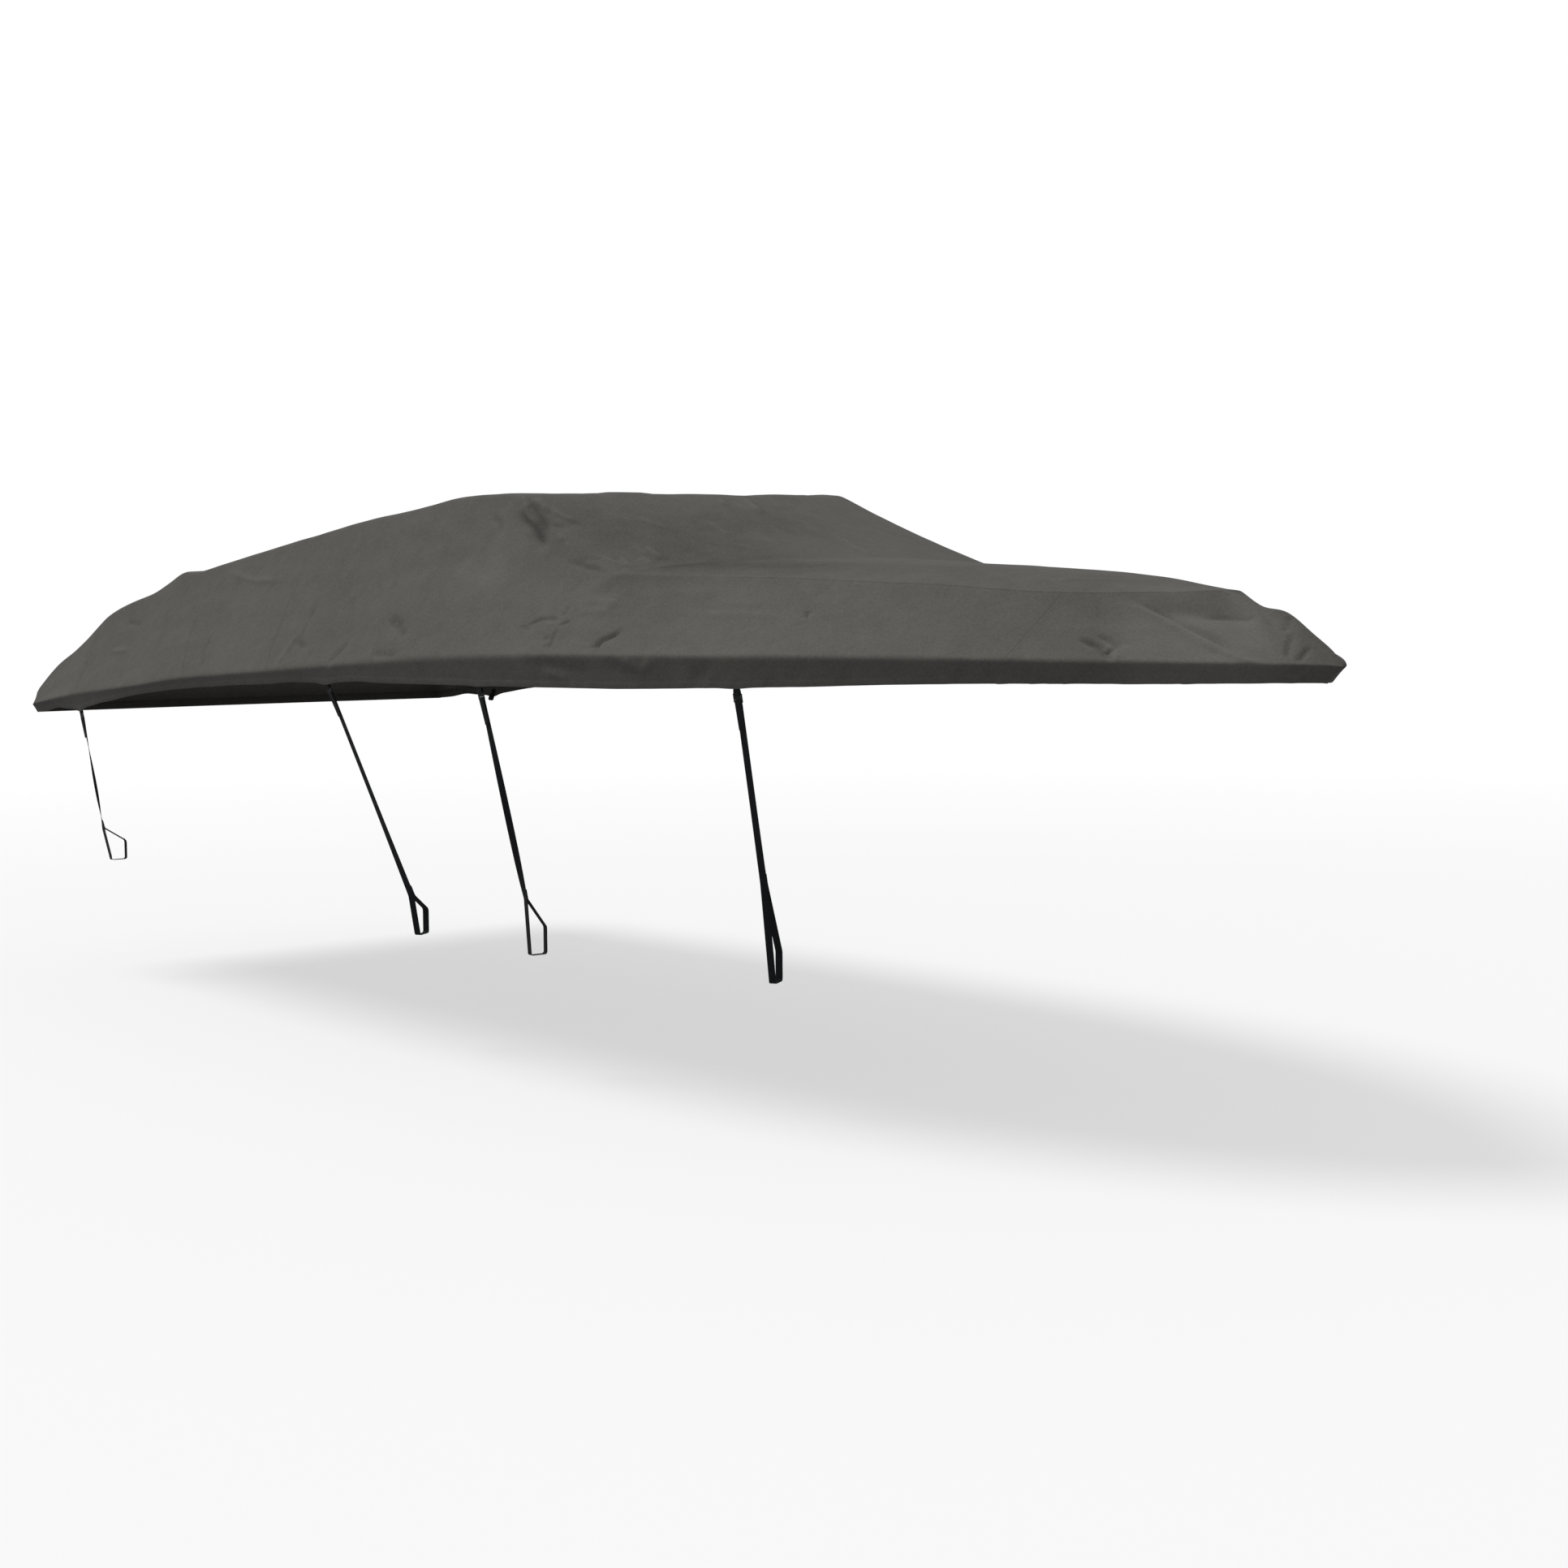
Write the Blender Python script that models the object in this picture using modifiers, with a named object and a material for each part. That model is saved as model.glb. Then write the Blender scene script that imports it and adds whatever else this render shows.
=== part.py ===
"""Fitted cover, 6.9 m long, in the shape in which it is worn.

Metres, +X towards the bow, +Y to port, +Z up. The origin is under the cloth of the crest, on the
centreline. Twelve cloth panels meet at sewn seams. Webbing tabs are sewn inside the hem, and on
the starboard side each holds a bar buckle and a strap that ends in a closed loop.
"""
from bisect import bisect_right
from collections import namedtuple
from math import cos, exp, pi, sin, tan

import bmesh
import bpy
from mathutils import Matrix, Quaternion, Vector
from mathutils.bvhtree import BVHTree

# ---- cloth -------------------------------------------------------------------------------
SHEET = 0.002            # coated cloth, with its turned edges
SEAM_GAP = 0.0003        # between two sewn panels, and between webbing and cloth
MITRE_LIMIT = 1.5        # the most by which a folded edge is offset further than a flat one
SIDE_TUCK = 0.022        # how far the hem lies inside the shoulder
BOW_TUCK = 0.067         # the same at the tip of the bow
BOW_TUCK_X = (2.0, 3.0)  # where the tuck turns from sideways to aft
STERN_X = -3.86          # the stern edge
STERN_BOW = 0.03         # how far the stern edge bows out aft in the middle
STERN_CORNER = 0.035     # its corner radius
STERN_HEM_Z = -0.911

# The crest: its top line and its foot line curve forward in the middle.
CREST_X = -0.12          # the top line at the ridges
TIP_X = 2.55             # the fore end of the deck panel, where the two long seams meet
CREST_STEEPNESS = 1.06   # 1 is a straight fore face, more is a hollow one
CREST_HOLLOW = 0.24      # added at the starboard ridge
CREST_PORT_HOLLOW = 0.08 # added at the port ridge
DECK_FLATNESS = 2.6      # power of the deck's crown: 2 is a parabola

# The shoulder, where the side turns down into the skirt, and the hem under it.
Shoulder = namedtuple("Shoulder", "x half z hem_z")
SHOULDER = [Shoulder(*row) for row in (
    (-3.860, 1.160, -0.874, -0.911),
    (-3.600, 1.166, -0.842, -0.896),
    (-3.310, 1.173, -0.810, -0.878),
    (-2.620, 1.211, -0.758, -0.799),
    (-2.080, 1.234, -0.712, -0.758),
    (-1.450, 1.243, -0.678, -0.729),
    (-0.530, 1.241, -0.627, -0.705),
    (0.050, 1.217, -0.601, -0.704),
    (0.810, 1.138, -0.589, -0.703),
    (1.220, 1.060, -0.589, -0.695),
    (1.610, 0.950, -0.588, -0.686),
    (2.100, 0.753, -0.593, -0.672),
    (2.480, 0.543, -0.603, -0.670),
    (2.800, 0.268, -0.612, -0.671),
    (2.935, 0.112, -0.618, -0.673),
    (3.000, 0.000, -0.624, -0.674),
)]

# The ridge between the top and the side, aft of the crest's front.
Ridge = namedtuple("Ridge", "x half z")
RIDGE = [Ridge(*row) for row in (
    (-3.860, 1.140, -0.874),
    (-3.830, 1.135, -0.806),
    (-3.810, 1.125, -0.786),
    (-3.760, 1.080, -0.706),
    (-3.600, 1.030, -0.608),
    (-3.440, 1.005, -0.515),
    (-3.300, 1.000, -0.448),
    (-3.080, 0.990, -0.389),
    (-2.880, 0.970, -0.346),
    (-2.730, 0.960, -0.298),
    (-2.585, 0.950, -0.249),
    (-2.500, 0.945, -0.254),
    (-2.440, 0.940, -0.246),
    (-2.090, 0.920, -0.199),
    (-1.695, 0.900, -0.143),
    (-1.160, 0.860, -0.072),
    (-0.805, 0.840, -0.036),
    (-0.465, 0.820, 0.0000),
    (-0.250, 0.805, -0.001),
    (-0.120, 0.800, -0.0105),
)]

# The long seam at the side of the deck panel, from the crest's foot to the tip.
LONG_SEAM = [Ridge(*row) for row in (
    (0.580, 0.880, -0.313),
    (0.750, 0.832, -0.321),
    (0.970, 0.760, -0.330),
    (1.310, 0.660, -0.340),
    (1.770, 0.530, -0.365),
    (2.165, 0.420, -0.391),
    (2.300, 0.345, -0.397),
    (2.400, 0.265, -0.398),
    (2.480, 0.170, -0.397),
    (2.530, 0.090, -0.394),
    (2.550, 0.000, -0.392),
)]

# The centreline of the foredeck and the bow.
Centre = namedtuple("Centre", "x z")
CENTRE = [Centre(*row) for row in (
    (0.400, -0.238),
    (0.980, -0.261),
    (1.300, -0.281),
    (1.606, -0.299),
    (1.986, -0.322),
    (2.189, -0.345),
    (2.400, -0.377),
    (2.550, -0.392),
    (2.643, -0.415),
    (2.696, -0.445),
    (2.770, -0.453),
    (2.885, -0.526),
    (2.988, -0.605),
    (3.000, -0.624),
)]

# How much the top is crowned between its ridges, how much the side sags between ridge and
# shoulder, and how much higher the port ridge is held than the starboard one.
Fullness = namedtuple("Fullness", "x crown sag lean")
FULLNESS = [Fullness(*row) for row in (
    (-3.86, 0.0000, 0.000, 0.0000),
    (-3.40, 0.0100, -0.010, 0.0000),
    (-2.60, 0.0200, -0.012, 0.0000),
    (-2.20, 0.0200, -0.012, 0.0000),
    (-0.80, 0.0160, -0.014, 0.0300),
    (-0.50, 0.0028, -0.014, 0.0405),
    (-0.06, -0.0076, -0.014, 0.0405),
    (0.16, -0.0083, -0.014, 0.0405),
    (0.80, 0.0220, -0.012, 0.0200),
    (1.70, 0.0220, -0.011, 0.0000),
    (2.20, 0.0220, -0.010, 0.0000),
    (3.00, 0.0220, 0.000, 0.0000),
)]

# The ribs: lines across the cover, on which its cross-sections lie. Belly is how far a rib bends
# aft halfway up the side. Port_shift and middle_shift are how far it lies forward of the
# starboard ridge's place at the port ridge and in the middle. Drop is 0 on the crest's top and 1
# from its foot on. Bays is the number of steps to the next rib in the table.
Rib = namedtuple("Rib", "shoulder_x belly ridge_x port_shift middle_shift drop")
RIBS = {name: (Rib(*row[:6]), row[6]) for name, *row in (
    ("stern_1", -3.800, 0.000, -3.830, 0.00, 0.000, 0, 1),
    ("stern_2", -3.785, 0.000, -3.805, 0.00, 0.000, 0, 1),
    ("stern_3", -3.755, 0.000, -3.760, 0.00, 0.000, 0, 2),
    ("stern_4", -3.590, 0.000, -3.600, 0.00, 0.000, 0, 2),
    ("stern_seam", -3.325, 0.000, -3.390, 0.00, 0.000, 0, 2),
    ("slope", -2.980, 0.010, -3.080, 0.00, 0.000, 0, 2),
    ("below_peak", -2.600, 0.030, -2.730, 0.00, 0.000, 0, 2),
    ("peak", -2.430, 0.030, -2.585, 0.00, 0.000, 0, 1),
    ("dip", -2.360, 0.040, -2.520, 0.00, 0.000, 0, 2),
    ("seam_1", -2.075, 0.050, -2.330, 0.00, 0.000, 0, 4),
    ("seam_2", -1.315, 0.050, -1.460, 0.00, 0.000, 0, 4),
    ("seam_3", -0.494, 0.090, -0.490, 0.00, 0.000, 0, 3),
    ("crest_top", -0.130, 0.090, -0.120, 0.00, 0.280, 0, 6),
    ("crest_foot", 0.540, 0.085, 0.580, 0.27, 0.405, 1, 5),
    ("seam_4", 1.618, 0.000, 1.356, 0.00, 0.104, 1, 5),
    ("seam_5", 2.257, 0.010, 2.236, 0.00, 0.004, 1, 1),
    ("nose_1", 2.450, 0.000, 2.330, 0.00, 0.000, 1, 1),
    ("nose_2", 2.620, 0.000, 2.420, 0.00, 0.000, 1, 1),
    ("nose_3", 2.740, 0.000, 2.490, 0.00, 0.000, 1, 1),
    ("nose_4", 2.820, 0.000, 2.530, 0.00, 0.000, 1, 1),
    ("tip", 2.875, 0.000, 2.550, 0.00, 0.000, 1, 1),
    ("bow_1", 2.910, 0.000, 2.640, 0.00, 0.000, 1, 1),
    ("bow_2", 2.935, 0.000, 2.700, 0.00, 0.000, 1, 1),
    ("bow_3", 2.957, 0.000, 2.770, 0.00, 0.000, 1, 1),
    ("bow_4", 2.980, 0.000, 2.850, 0.00, 0.000, 1, 1),
    ("bow", 3.000, 0.000, 3.000, 0.00, 0.000, 1, 0),
)}

# Lines along the cover, as steps from the middle: 0 to 1 on the top, to 2 on the side, to 3 on
# the skirt. Each is used to starboard, as a negative number, and to port.
RIDGE_LINE, SHOULDER_LINE, HEM_LINE = 1, 2, 3
TOP_STEPS = (0.3, 0.6, 0.85, 1)
SIDE_STEPS = (1.13, 1.3, 1.5, 1.7, 1.87, 2)
SKIRT_STEPS = (2.2, 2.6, 3)

# The main folds: soft ridges, or troughs where lift is negative, from one point to another.
Fold = namedtuple("Fold", "x1 y1 x2 y2 width lift")
FOLDS = [Fold(*row) for row in (
    (-0.05, -0.520, 0.02, -0.320, 0.220, 0.006),    # swell under the crest's top line
    (-0.80, -0.850, -0.22, -0.950, 0.070, 0.006),   # crease from the top seam to the crest's corner
    (-0.09, -0.835, 0.16, -0.880, 0.060, -0.008),   # trough under the crest's corner
    (0.34, -1.080, 0.80, -1.020, 0.070, 0.006),     # soft ridge on the flank below the foot
    (0.25, -0.090, 0.80, 0.010, 0.090, 0.006),      # streak down the crest's face
    (1.32, -0.500, 1.76, -0.170, 0.100, 0.004),     # slack across the deck
    (2.37, -0.300, 2.88, -0.210, 0.070, 0.010),     # fold that runs out along the bow
    (2.45, -0.240, 2.74, -0.090, 0.070, -0.008),    # hollow above it
    (2.30, 0.350, 2.80, 0.200, 0.090, 0.008),       # the port bow's own fold
    (-3.35, -1.080, -3.50, -0.800, 0.100, 0.006),   # pull from the stern corner
)]

# Which ribs and lines bound each panel.
Panel = namedtuple("Panel", "name first last low high")
PANELS = [
    Panel("panel_aft_1", "stern_seam", "seam_1", -HEM_LINE, HEM_LINE),
    Panel("panel_aft_2", "seam_1", "seam_2", -HEM_LINE, HEM_LINE),
    Panel("panel_aft_3", "seam_2", "seam_3", -HEM_LINE, HEM_LINE),
    Panel("panel_crest", "seam_3", "crest_foot", -HEM_LINE, HEM_LINE),
    Panel("panel_deck", "crest_foot", "tip", -RIDGE_LINE, RIDGE_LINE),
    Panel("side_fore_1_starboard", "crest_foot", "seam_4", -HEM_LINE, -RIDGE_LINE),
    Panel("side_fore_2_starboard", "seam_4", "seam_5", -HEM_LINE, -RIDGE_LINE),
    Panel("side_fore_3_starboard", "seam_5", "bow", -HEM_LINE, -RIDGE_LINE),
    Panel("side_fore_1_port", "crest_foot", "seam_4", RIDGE_LINE, HEM_LINE),
    Panel("side_fore_2_port", "seam_4", "seam_5", RIDGE_LINE, HEM_LINE),
    Panel("side_fore_3_port", "seam_5", "bow", RIDGE_LINE, HEM_LINE),
    Panel("panel_stern", "stern_1", "stern_seam", -HEM_LINE, HEM_LINE),
]

# ---- webbing -----------------------------------------------------------------------------
WEB_WIDTH = 0.025
WEB = 0.002              # its thickness
TAB_ABOVE_HEM = 0.022    # sewn length inside the skirt
TAB_BELOW_HEM = 0.014    # from there to the buckle's top bar
PORT_LOOP = 0.030        # how far an empty tab hangs from there
PORT_LOOP_RADIUS = 0.008
TURN_STEPS = 6           # facets of a half turn round a bar

FIRST_LAYER = SEAM_GAP * 1.5 + WEB / 2            # depths inside the skirt of a tab's two layers
SECOND_LAYER = FIRST_LAYER + WEB + 2 * SEAM_GAP
HEM_LEVEL = 0.003                                 # where the tab leaves the skirt, above the hem
TAB_FLAT = 0.009                                  # how far it hangs on from there in the skirt's slope

# The bar buckle, and the place of its bars below its top edge.
BUCKLE_WIDTH = 0.035
BUCKLE_THICK = 0.0035
BUCKLE_SLOT_WIDTH = 0.0275
BUCKLE_BAR = 0.005
BUCKLE_SLOT = 0.0045
BUCKLE_MIDDLE = 0.011     # height of the bar between the slots
BUCKLE_ROUND = 0.0008
BUCKLE_HEIGHT = 2 * (BUCKLE_BAR + BUCKLE_SLOT) + BUCKLE_MIDDLE
BAR_CLEARANCE = 0.0006   # between a bar's flat sides and the webbing round it
TURN_ROOM = 0.0013       # between a bar's edge and the webbing's turn
BAR_TURN = BUCKLE_THICK / 2 + BAR_CLEARANCE + WEB / 2

TAIL_LENGTH = 0.10       # free end that hangs in front of the strap
TAIL_STAND_OFF = 0.0035  # between the middles of tail and strap at the tail's end
JOIN_STAND_OFF = 0.0032  # between the middles of the strap and the end sewn back to it
LOOP_TURN = 0.010        # radius of the webbing at the loop's corners
LOOP_LEG = 0.10          # height of the loop's straight inner leg
JOIN_BEND = 0.03         # radius of the strap's bend where its loop begins
SEWN_END = 0.035         # length of the loop's end that is sewn back to the strap
LONGEST_STEP = 0.05      # between two points of a straight run

# Where each strap is buckled to the hem, where its loop closes, the outer lower corner of the
# loop, how far the loop reaches inwards, and how much the strap is twisted on its way down.
Strap = namedtuple("Strap", "hem_x join corner base twist")
STRAPS = [Strap(hem_x, Vector(join), Vector(corner), Vector(base), twist)
          for hem_x, join, corner, base, twist in (
    (-3.309, (-3.200, -1.100, -1.437), (-3.120, -1.100, -1.581), (0.000, 0.072, 0.0), 0.9),
    (-0.869, (-0.580, -1.030, -1.530), (-0.578, -1.005, -1.687), (-0.040, 0.062, 0.0), 0.2),
    (0.159, (0.220, -1.040, -1.473), (0.169, -0.991, -1.687), (0.004, 0.066, 0.0), -0.7),
    (1.375, (1.330, -0.850, -1.341), (1.270, -0.765, -1.687), (-0.035, 0.058, 0.0), 0.1),
)]

# ---- finishes ----------------------------------------------------------------------------
CLOTH_COLOUR = (0.105, 0.102, 0.092, 1)
WEBBING_COLOUR = (0.012, 0.013, 0.016, 1)
BUCKLE_COLOUR = (0.016, 0.016, 0.018, 1)


def blend(low, high, share):
    return low + (high - low) * share


def clamp(value):
    return min(max(value, 0.0), 1.0)


def follow(rows, column, x):
    """The column's value at x, on a smooth curve that never overshoots the rows."""
    places = [row.x for row in rows]
    x = min(max(x, places[0]), places[-1])
    k = min(bisect_right(places, x) - 1, len(rows) - 2)

    def chord(i):
        rise = getattr(rows[i + 1], column) - getattr(rows[i], column)
        return rise / (places[i + 1] - places[i])

    def tangent(i):
        if i == 0 or i == len(rows) - 1:
            return chord(min(i, len(rows) - 2))
        before, after = chord(i - 1), chord(i)
        if before * after <= 0:
            return 0.0
        back, ahead = places[i] - places[i - 1], places[i + 1] - places[i]
        return 3 * (back + ahead) / ((2 * ahead + back) / before + (ahead + 2 * back) / after)

    step = places[k + 1] - places[k]
    t = (x - places[k]) / step
    low, high = getattr(rows[k], column), getattr(rows[k + 1], column)
    return ((1 + 2 * t) * (1 - t) ** 2 * low + t * (1 - t) ** 2 * step * tangent(k)
            + t * t * (3 - 2 * t) * high + t * t * (t - 1) * step * tangent(k + 1))


def fold_lift(x, y):
    """The height that the main folds add at a point."""
    lift = 0.0
    for fold in FOLDS:
        run = Vector((fold.x2 - fold.x1, fold.y2 - fold.y1))
        here = Vector((x - fold.x1, y - fold.y1))
        along = here.dot(run) / run.length_squared
        away = (here - run * clamp(along)).length / fold.width
        lift += fold.lift * exp(-2 * away * away)
    return lift


def ridge_point(rib, side):
    """Where a rib crosses the ridge on one side, aft of the crest's face or fore of its foot."""
    x = rib.ridge_x + (rib.port_shift if side > 0 else 0)
    if x <= CREST_X:
        half, z = follow(RIDGE, "half", x), follow(RIDGE, "z", x)
    elif x < TIP_X:
        half, z = follow(LONG_SEAM, "half", x), follow(LONG_SEAM, "z", x)
    else:
        half, z = 0.0, follow(CENTRE, "z", x)
    if side > 0 and x < TIP_X:
        z += follow(FULLNESS, "lean", x)
    return Vector((x, side * half, z))


def top_point(rib, line):
    """A point between the ridges, on the flat top or on the deck."""
    side, share = (1 if line > 0 else -1), abs(line)
    ridge = ridge_point(rib, side)
    x = blend(rib.ridge_x + rib.middle_shift, ridge.x, share ** 2)
    if rib.drop == 0:
        middle = follow(RIDGE, "z", x) + follow(FULLNESS, "crown", x) + follow(FULLNESS, "lean", x) / 2
        return Vector((x, ridge.y * share, blend(middle, ridge.z, share ** 2)))
    return Vector((x, ridge.y * share, blend(follow(CENTRE, "z", x), ridge.z, share ** DECK_FLATNESS)))


def crest_point(rib, line):
    """A point between the ridges: the crest's fore face runs from its top line to its foot line."""
    if rib.drop in (0, 1):
        return top_point(rib, line)
    top = top_point(RIBS["crest_top"][0], line)
    foot = top_point(RIBS["crest_foot"][0], line)
    hollow = CREST_STEEPNESS + (CREST_HOLLOW if line < 0 else CREST_PORT_HOLLOW) * line ** 2
    place = top.lerp(foot, rib.drop)
    place.z = blend(foot.z, top.z, (1 - rib.drop) ** hollow)
    return place


def shoulder_point(rib, side):
    x = rib.shoulder_x
    return Vector((x, side * follow(SHOULDER, "half", x), follow(SHOULDER, "z", x)))


def skirt_point(shoulder, hem_z, tuck, share):
    """A point of the skirt, which hangs from the shoulder and leans in towards the hem."""
    place = shoulder + tuck * share ** 1.2
    place.z = blend(shoulder.z, hem_z, share)
    return place


def skin_point(rib, line):
    """The outer surface where a rib crosses a line."""
    side, away = (1 if line > 0 else -1), abs(line)
    if away <= RIDGE_LINE:
        place = crest_point(rib, line)
        place.z += fold_lift(place.x, place.y)
        return stern_bow(place)
    shoulder = shoulder_point(rib, side)
    if away <= SHOULDER_LINE:
        share = away - RIDGE_LINE
        ridge = crest_point(rib, side)
        place = ridge.lerp(shoulder, share)
        belly = 4 * share * (1 - share)
        place.x -= rib.belly * belly
        place.z += follow(FULLNESS, "sag", place.x) * belly
        place.z += fold_lift(place.x, place.y) * (1 - share ** 4)
        return place
    aft = clamp((rib.shoulder_x - BOW_TUCK_X[0]) / (BOW_TUCK_X[1] - BOW_TUCK_X[0]))
    narrow = min(1, abs(shoulder.y) / STERN_CORNER)
    tuck = Vector((-BOW_TUCK * aft, -side * SIDE_TUCK * (1 - aft) * narrow, 0))
    return skirt_point(shoulder, follow(SHOULDER, "hem_z", rib.shoulder_x), tuck, away - SHOULDER_LINE)


def stern_bow(place):
    """Bows a point of the stern's upper surface out aft, most in the middle of the edge."""
    aft = clamp((-3.30 - place.x) / (-3.30 - STERN_X))
    place.x -= STERN_BOW * aft * clamp(1 - (place.y / SHOULDER[0].half) ** 2)
    return place


def stern_edge(line):
    """The stern edge: across the middle up to line 1, then round the corner up to line 2."""
    side, away = (1 if line > 0 else -1), abs(line)
    corner_y = SHOULDER[0].half - STERN_CORNER
    turn = clamp(away - RIDGE_LINE) * pi / 2
    inward = Vector((cos(turn), -side * sin(turn), 0))
    centre = Vector((STERN_X + STERN_CORNER, side * corner_y * min(away, 1), SHOULDER[0].z))
    return stern_bow(centre - inward * STERN_CORNER), inward


def stern_point(line):
    if abs(line) > SHOULDER_LINE:
        edge, inward = stern_edge(SHOULDER_LINE if line > 0 else -SHOULDER_LINE)
        return skirt_point(edge, STERN_HEM_Z, inward * SIDE_TUCK, abs(line) - SHOULDER_LINE)
    return stern_edge(line)[0]


def stern_skirt_point(line, share):
    edge, inward = stern_edge(line)
    return skirt_point(edge, STERN_HEM_Z, inward * SIDE_TUCK, share)


def ribs_between(first, last):
    """The ribs from one named rib to another, with the even steps between the table's rows."""
    names = list(RIBS)
    found = []
    for a, b in zip(names[names.index(first):names.index(last)], names[names.index(first) + 1:]):
        (rib, bays), following = RIBS[a], RIBS[b][0]
        for step in range(bays):
            found.append(Rib(*(blend(p, q, step / bays) for p, q in zip(rib, following))))
    return found + [RIBS[last][0]]


def lines_between(low, high):
    steps = TOP_STEPS + SIDE_STEPS + SKIRT_STEPS
    lines = [-step for step in reversed(steps)] + [0] + list(steps)
    return [line for line in lines if low <= line <= high]


def add_grid(skin, rows, panel):
    """Faces between rows of points. Points that coincide become one vertex."""
    verts, faces, owner = skin
    keyed = [[tuple(round(c, 5) for c in place) for place in row] for row in rows]
    for row, places in zip(keyed, rows):
        for key, place in zip(row, places):
            verts.setdefault(key, place)
    for near, far in zip(keyed, keyed[1:]):
        for i in range(len(near) - 1):
            corners = list(dict.fromkeys((near[i], far[i], far[i + 1], near[i + 1])))
            if len(corners) > 2:
                faces.append(corners)
                owner.append(panel)


def build_skin():
    """The whole outer surface as one bmesh, with each face's panel as its material index."""
    skin = ({}, [], [])
    for index, panel in enumerate(PANELS):
        lines = lines_between(panel.low, panel.high)
        rows = [[skin_point(rib, line) for line in lines]
                for rib in ribs_between(panel.first, panel.last)]
        if panel.name == "panel_stern":
            rows.insert(0, [stern_point(line) for line in lines])
            edge = lines_between(-SHOULDER_LINE, SHOULDER_LINE)
            shares = [0] + [step - SHOULDER_LINE for step in SKIRT_STEPS]
            skirt = [[stern_skirt_point(line, share) for line in edge] for share in reversed(shares)]
            add_grid(skin, skirt, index)
        add_grid(skin, rows, index)
    verts, faces, owner = skin
    mesh = bmesh.new()
    made = {key: mesh.verts.new(place) for key, place in verts.items()}
    for corners, panel in zip(faces, owner):
        mesh.faces.new([made[key] for key in corners]).material_index = panel
    bmesh.ops.recalc_face_normals(mesh, faces=mesh.faces)
    if sum(face.normal.z * face.calc_area() for face in mesh.faces) < 0:
        bmesh.ops.reverse_faces(mesh, faces=mesh.faces)
    bmesh.ops.triangulate(mesh, faces=mesh.faces, quad_method="SHORT_EDGE")
    mesh.verts.index_update()
    mesh.normal_update()
    return mesh


def seam_shift(vert, panel):
    """How far a panel's vertex draws back from the seams that it lies on."""
    inward = Vector()
    for edge in vert.link_edges:
        owners = [face.material_index for face in edge.link_faces]
        if panel in owners and len(set(owners)) > 1:
            face = edge.link_faces[owners.index(panel)]
            along = (edge.verts[1].co - edge.verts[0].co).normalized()
            across = along.cross(face.normal)
            if across.dot(face.calc_center_median() - edge.verts[0].co) < 0:
                across.negate()
            inward += across
    if inward.length < 1e-6:
        return inward
    return inward.normalized() * SEAM_GAP * 0.5 * min(2 / max(inward.length, 0.5), 2)


def panel_mesh(skin, panel):
    """A panel's closed mesh: its outer faces, the same faces one sheet further in, and the rim.

    The thickness is laid off along the whole cover's normals, so that two panels meet in a mitre,
    and the rims of two panels at a seam are divided along the same diagonals.
    """
    mesh = bmesh.new()
    outer, inner = {}, {}
    faces = [face for face in skin.faces if face.material_index == panel]
    for face in faces:
        for vert in face.verts:
            if vert not in outer:
                place = vert.co + seam_shift(vert, panel)
                depth = SHEET * min(vert.calc_shell_factor(), MITRE_LIMIT)
                outer[vert] = mesh.verts.new(place)
                inner[vert] = mesh.verts.new(place - vert.normal * depth)
    for face in faces:
        mesh.faces.new([outer[vert] for vert in face.verts])
        mesh.faces.new([inner[vert] for vert in reversed(face.verts)])
        for loop in face.loops:
            a, b = loop.vert, loop.link_loop_next.vert
            if sum(other.material_index == panel for other in loop.edge.link_faces) == 1:
                if a.index < b.index:
                    mesh.faces.new([outer[b], outer[a], inner[b]])
                    mesh.faces.new([outer[a], inner[a], inner[b]])
                else:
                    mesh.faces.new([outer[b], outer[a], inner[a]])
                    mesh.faces.new([outer[b], inner[a], inner[b]])
    return mesh


def material(name, colour, roughness):
    finish = bpy.data.materials.new(name)
    finish.use_nodes = True
    shader = finish.node_tree.nodes["Principled BSDF"]
    shader.inputs["Base Color"].default_value = colour
    shader.inputs["Roughness"].default_value = roughness
    shader.inputs["Metallic"].default_value = 0.0
    return finish


def add_object(name, mesh, finish, collection):
    """Makes an object from a bmesh."""
    data = bpy.data.meshes.new(name)
    mesh.to_mesh(data)
    mesh.free()
    data.materials.append(finish)
    item = bpy.data.objects.new(name, data)
    collection.objects.link(item)
    return item


def rounded(corners):
    """A route's points: corners given as (point, radius, steps), each turned with an arc."""
    points = [corners[0][0]]
    for (before, *_), (corner, radius, steps), (after, *_) in zip(corners, corners[1:], corners[2:]):
        back, ahead = (before - corner).normalized(), (after - corner).normalized()
        half = back.angle(ahead) / 2
        if radius == 0:
            points.append(corner)
            continue
        centre = corner + (back + ahead).normalized() * (radius / sin(half))
        start = (corner + back * (radius / tan(half)) - centre).normalized()
        end = (corner + ahead * (radius / tan(half)) - centre).normalized()
        for step in range(steps + 1):
            points.append(centre + start.slerp(end, step / steps) * radius)
    return points + [corners[-1][0]]


def ribbon(points, widths, name, finish, collection):
    """Webbing along points. Its width lies along the given direction at each of them."""
    mesh = bmesh.new()
    rows = []
    for i, (place, width) in enumerate(zip(points, widths)):
        along = points[min(i + 1, len(points) - 1)] - points[max(i - 1, 0)]
        across = (width - along * width.dot(along) / along.length_squared).normalized()
        rows.append([mesh.verts.new(place + across * WEB_WIDTH * s) for s in (-0.5, 0.5)])
    for (a, b), (c, d) in zip(rows, rows[1:]):
        mesh.faces.new((a, b, d, c))
    item = add_object(name, mesh, finish, collection)
    solid = item.modifiers.new("thickness", "SOLIDIFY")
    solid.thickness = WEB
    solid.offset = 0
    return item


def filled(points, longest):
    """The same route, with its long straight runs divided into even steps."""
    found = [points[0]]
    for before, after in zip(points, points[1:]):
        count = int((after - before).length / longest) + 1
        found += [before.lerp(after, step / count) for step in range(1, count + 1)]
    return found


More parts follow.
